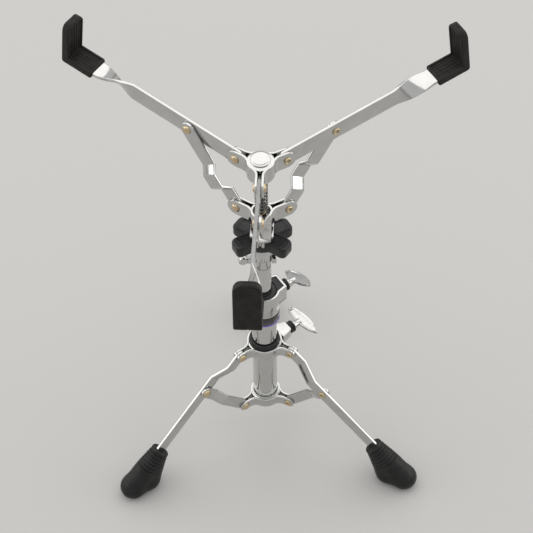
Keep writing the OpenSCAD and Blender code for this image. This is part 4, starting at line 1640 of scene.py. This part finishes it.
@dataclass(frozen=True)
class Studio:
    """The floor, the soft lights and the camera."""

    floor_tone: tuple[float, float, float] = (0.47, 0.465, 0.455)
    world_tone: tuple[float, float, float] = (0.70, 0.70, 0.70)
    eye: tuple[float, float, float] = (-0.0622, -0.9100, 1.3754)
    heading: float = 85.87
    down: float = 50.51
    roll: float = -1.1
    lens: float = 100.7

    def build_floor(self) -> None:
        """Make the pale floor."""
        half = 40.0
        mesh = bpy.data.meshes.new("floor")
        mesh.from_pydata(
            [(-half, -half, 0), (half, -half, 0), (half, half, 0), (-half, half, 0)],
            [], [(0, 1, 2, 3)],
        )
        mat = bpy.data.materials.new("floor_pale")
        mat.use_nodes = True
        shader = mat.node_tree.nodes["Principled BSDF"]
        dial(shader, {
            "Base Color": (*self.floor_tone, 1.0), "Roughness": 0.9, "Specular IOR Level": 0.1,
        })
        mesh.materials.append(mat)
        linked("floor", mesh)

    def build_lights(self) -> None:
        """Make the even surroundings and the large soft lamps."""
        world = bpy.data.worlds.new("soft_room")
        world.use_nodes = True
        dial(world.node_tree.nodes["Background"], {
            "Color": (*self.world_tone, 1.0), "Strength": 1.0,
        })
        bpy.context.scene.world = world
        for name, spot, aim, size, power, tone in (
            ("ceiling", (0.0, 1.0, 2.6), (0.0, 0.6, 0.0), (4.2, 4.2), 58.0, (1.0, 0.985, 0.96)),
            ("right", (2.6, 0.4, 1.05), (0.0, 0.0, 0.25), (3.0, 1.5), 24.0, (1.0, 0.99, 0.97)),
            ("left", (-2.6, 0.4, 1.05), (0.0, 0.0, 0.25), (3.0, 1.5), 22.0, (1.0, 0.99, 0.97)),
        ):
            lamp = bpy.data.lights.new(name, "AREA")
            lamp.shape = "RECTANGLE"
            lamp.size, lamp.size_y = size
            lamp.energy = power
            lamp.color = tone
            made = linked(name, lamp)
            made.location = spot
            made.rotation_euler = (Vector(aim) - Vector(spot)).to_track_quat("-Z", "Y").to_euler()
            made.visible_camera = False

    def build_camera(self) -> None:
        """Make the camera that looks down on the stand from the front."""
        a, p, r = (radians(v) for v in (self.heading, self.down, self.roll))
        ahead = Vector((cos(p) * cos(a), cos(p) * sin(a), -sin(p)))
        right = ahead.cross(UP).normalized()
        top = right.cross(ahead)
        x, y, z = turned(right, top, r), turned(top, -right, r), -ahead
        data = bpy.data.cameras.new("camera")
        data.lens = self.lens
        data.sensor_width = 36.0
        data.clip_start = 0.01
        data.clip_end = 200.0
        camera = linked("camera", data)
        facing = Matrix((x, y, z)).transposed().to_4x4()
        camera.matrix_world = Matrix.Translation(self.eye) @ facing
        bpy.context.scene.camera = camera


def main() -> None:
    """Build the studio and every piece of the stand, in order."""
    logging.basicConfig(level=logging.INFO, format="%(name)s: %(message)s")
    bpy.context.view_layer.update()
    studio = Studio()
    studio.build_camera()
    studio.build_floor()
    studio.build_lights()
    tripod = Tripod()
    tripod.build_column()
    tripod.build_legs()
    column = HeightColumn()
    column.build_clamp()
    column.build_tube()
    column.build_tilter()
    basket = Basket()
    basket.build_hub()
    basket.build_rod()
    basket.build_knob()
    basket.build_arms()
    scene = bpy.context.scene
    scene.view_settings.view_transform = "Standard"


if __name__ == "__main__":
    main()
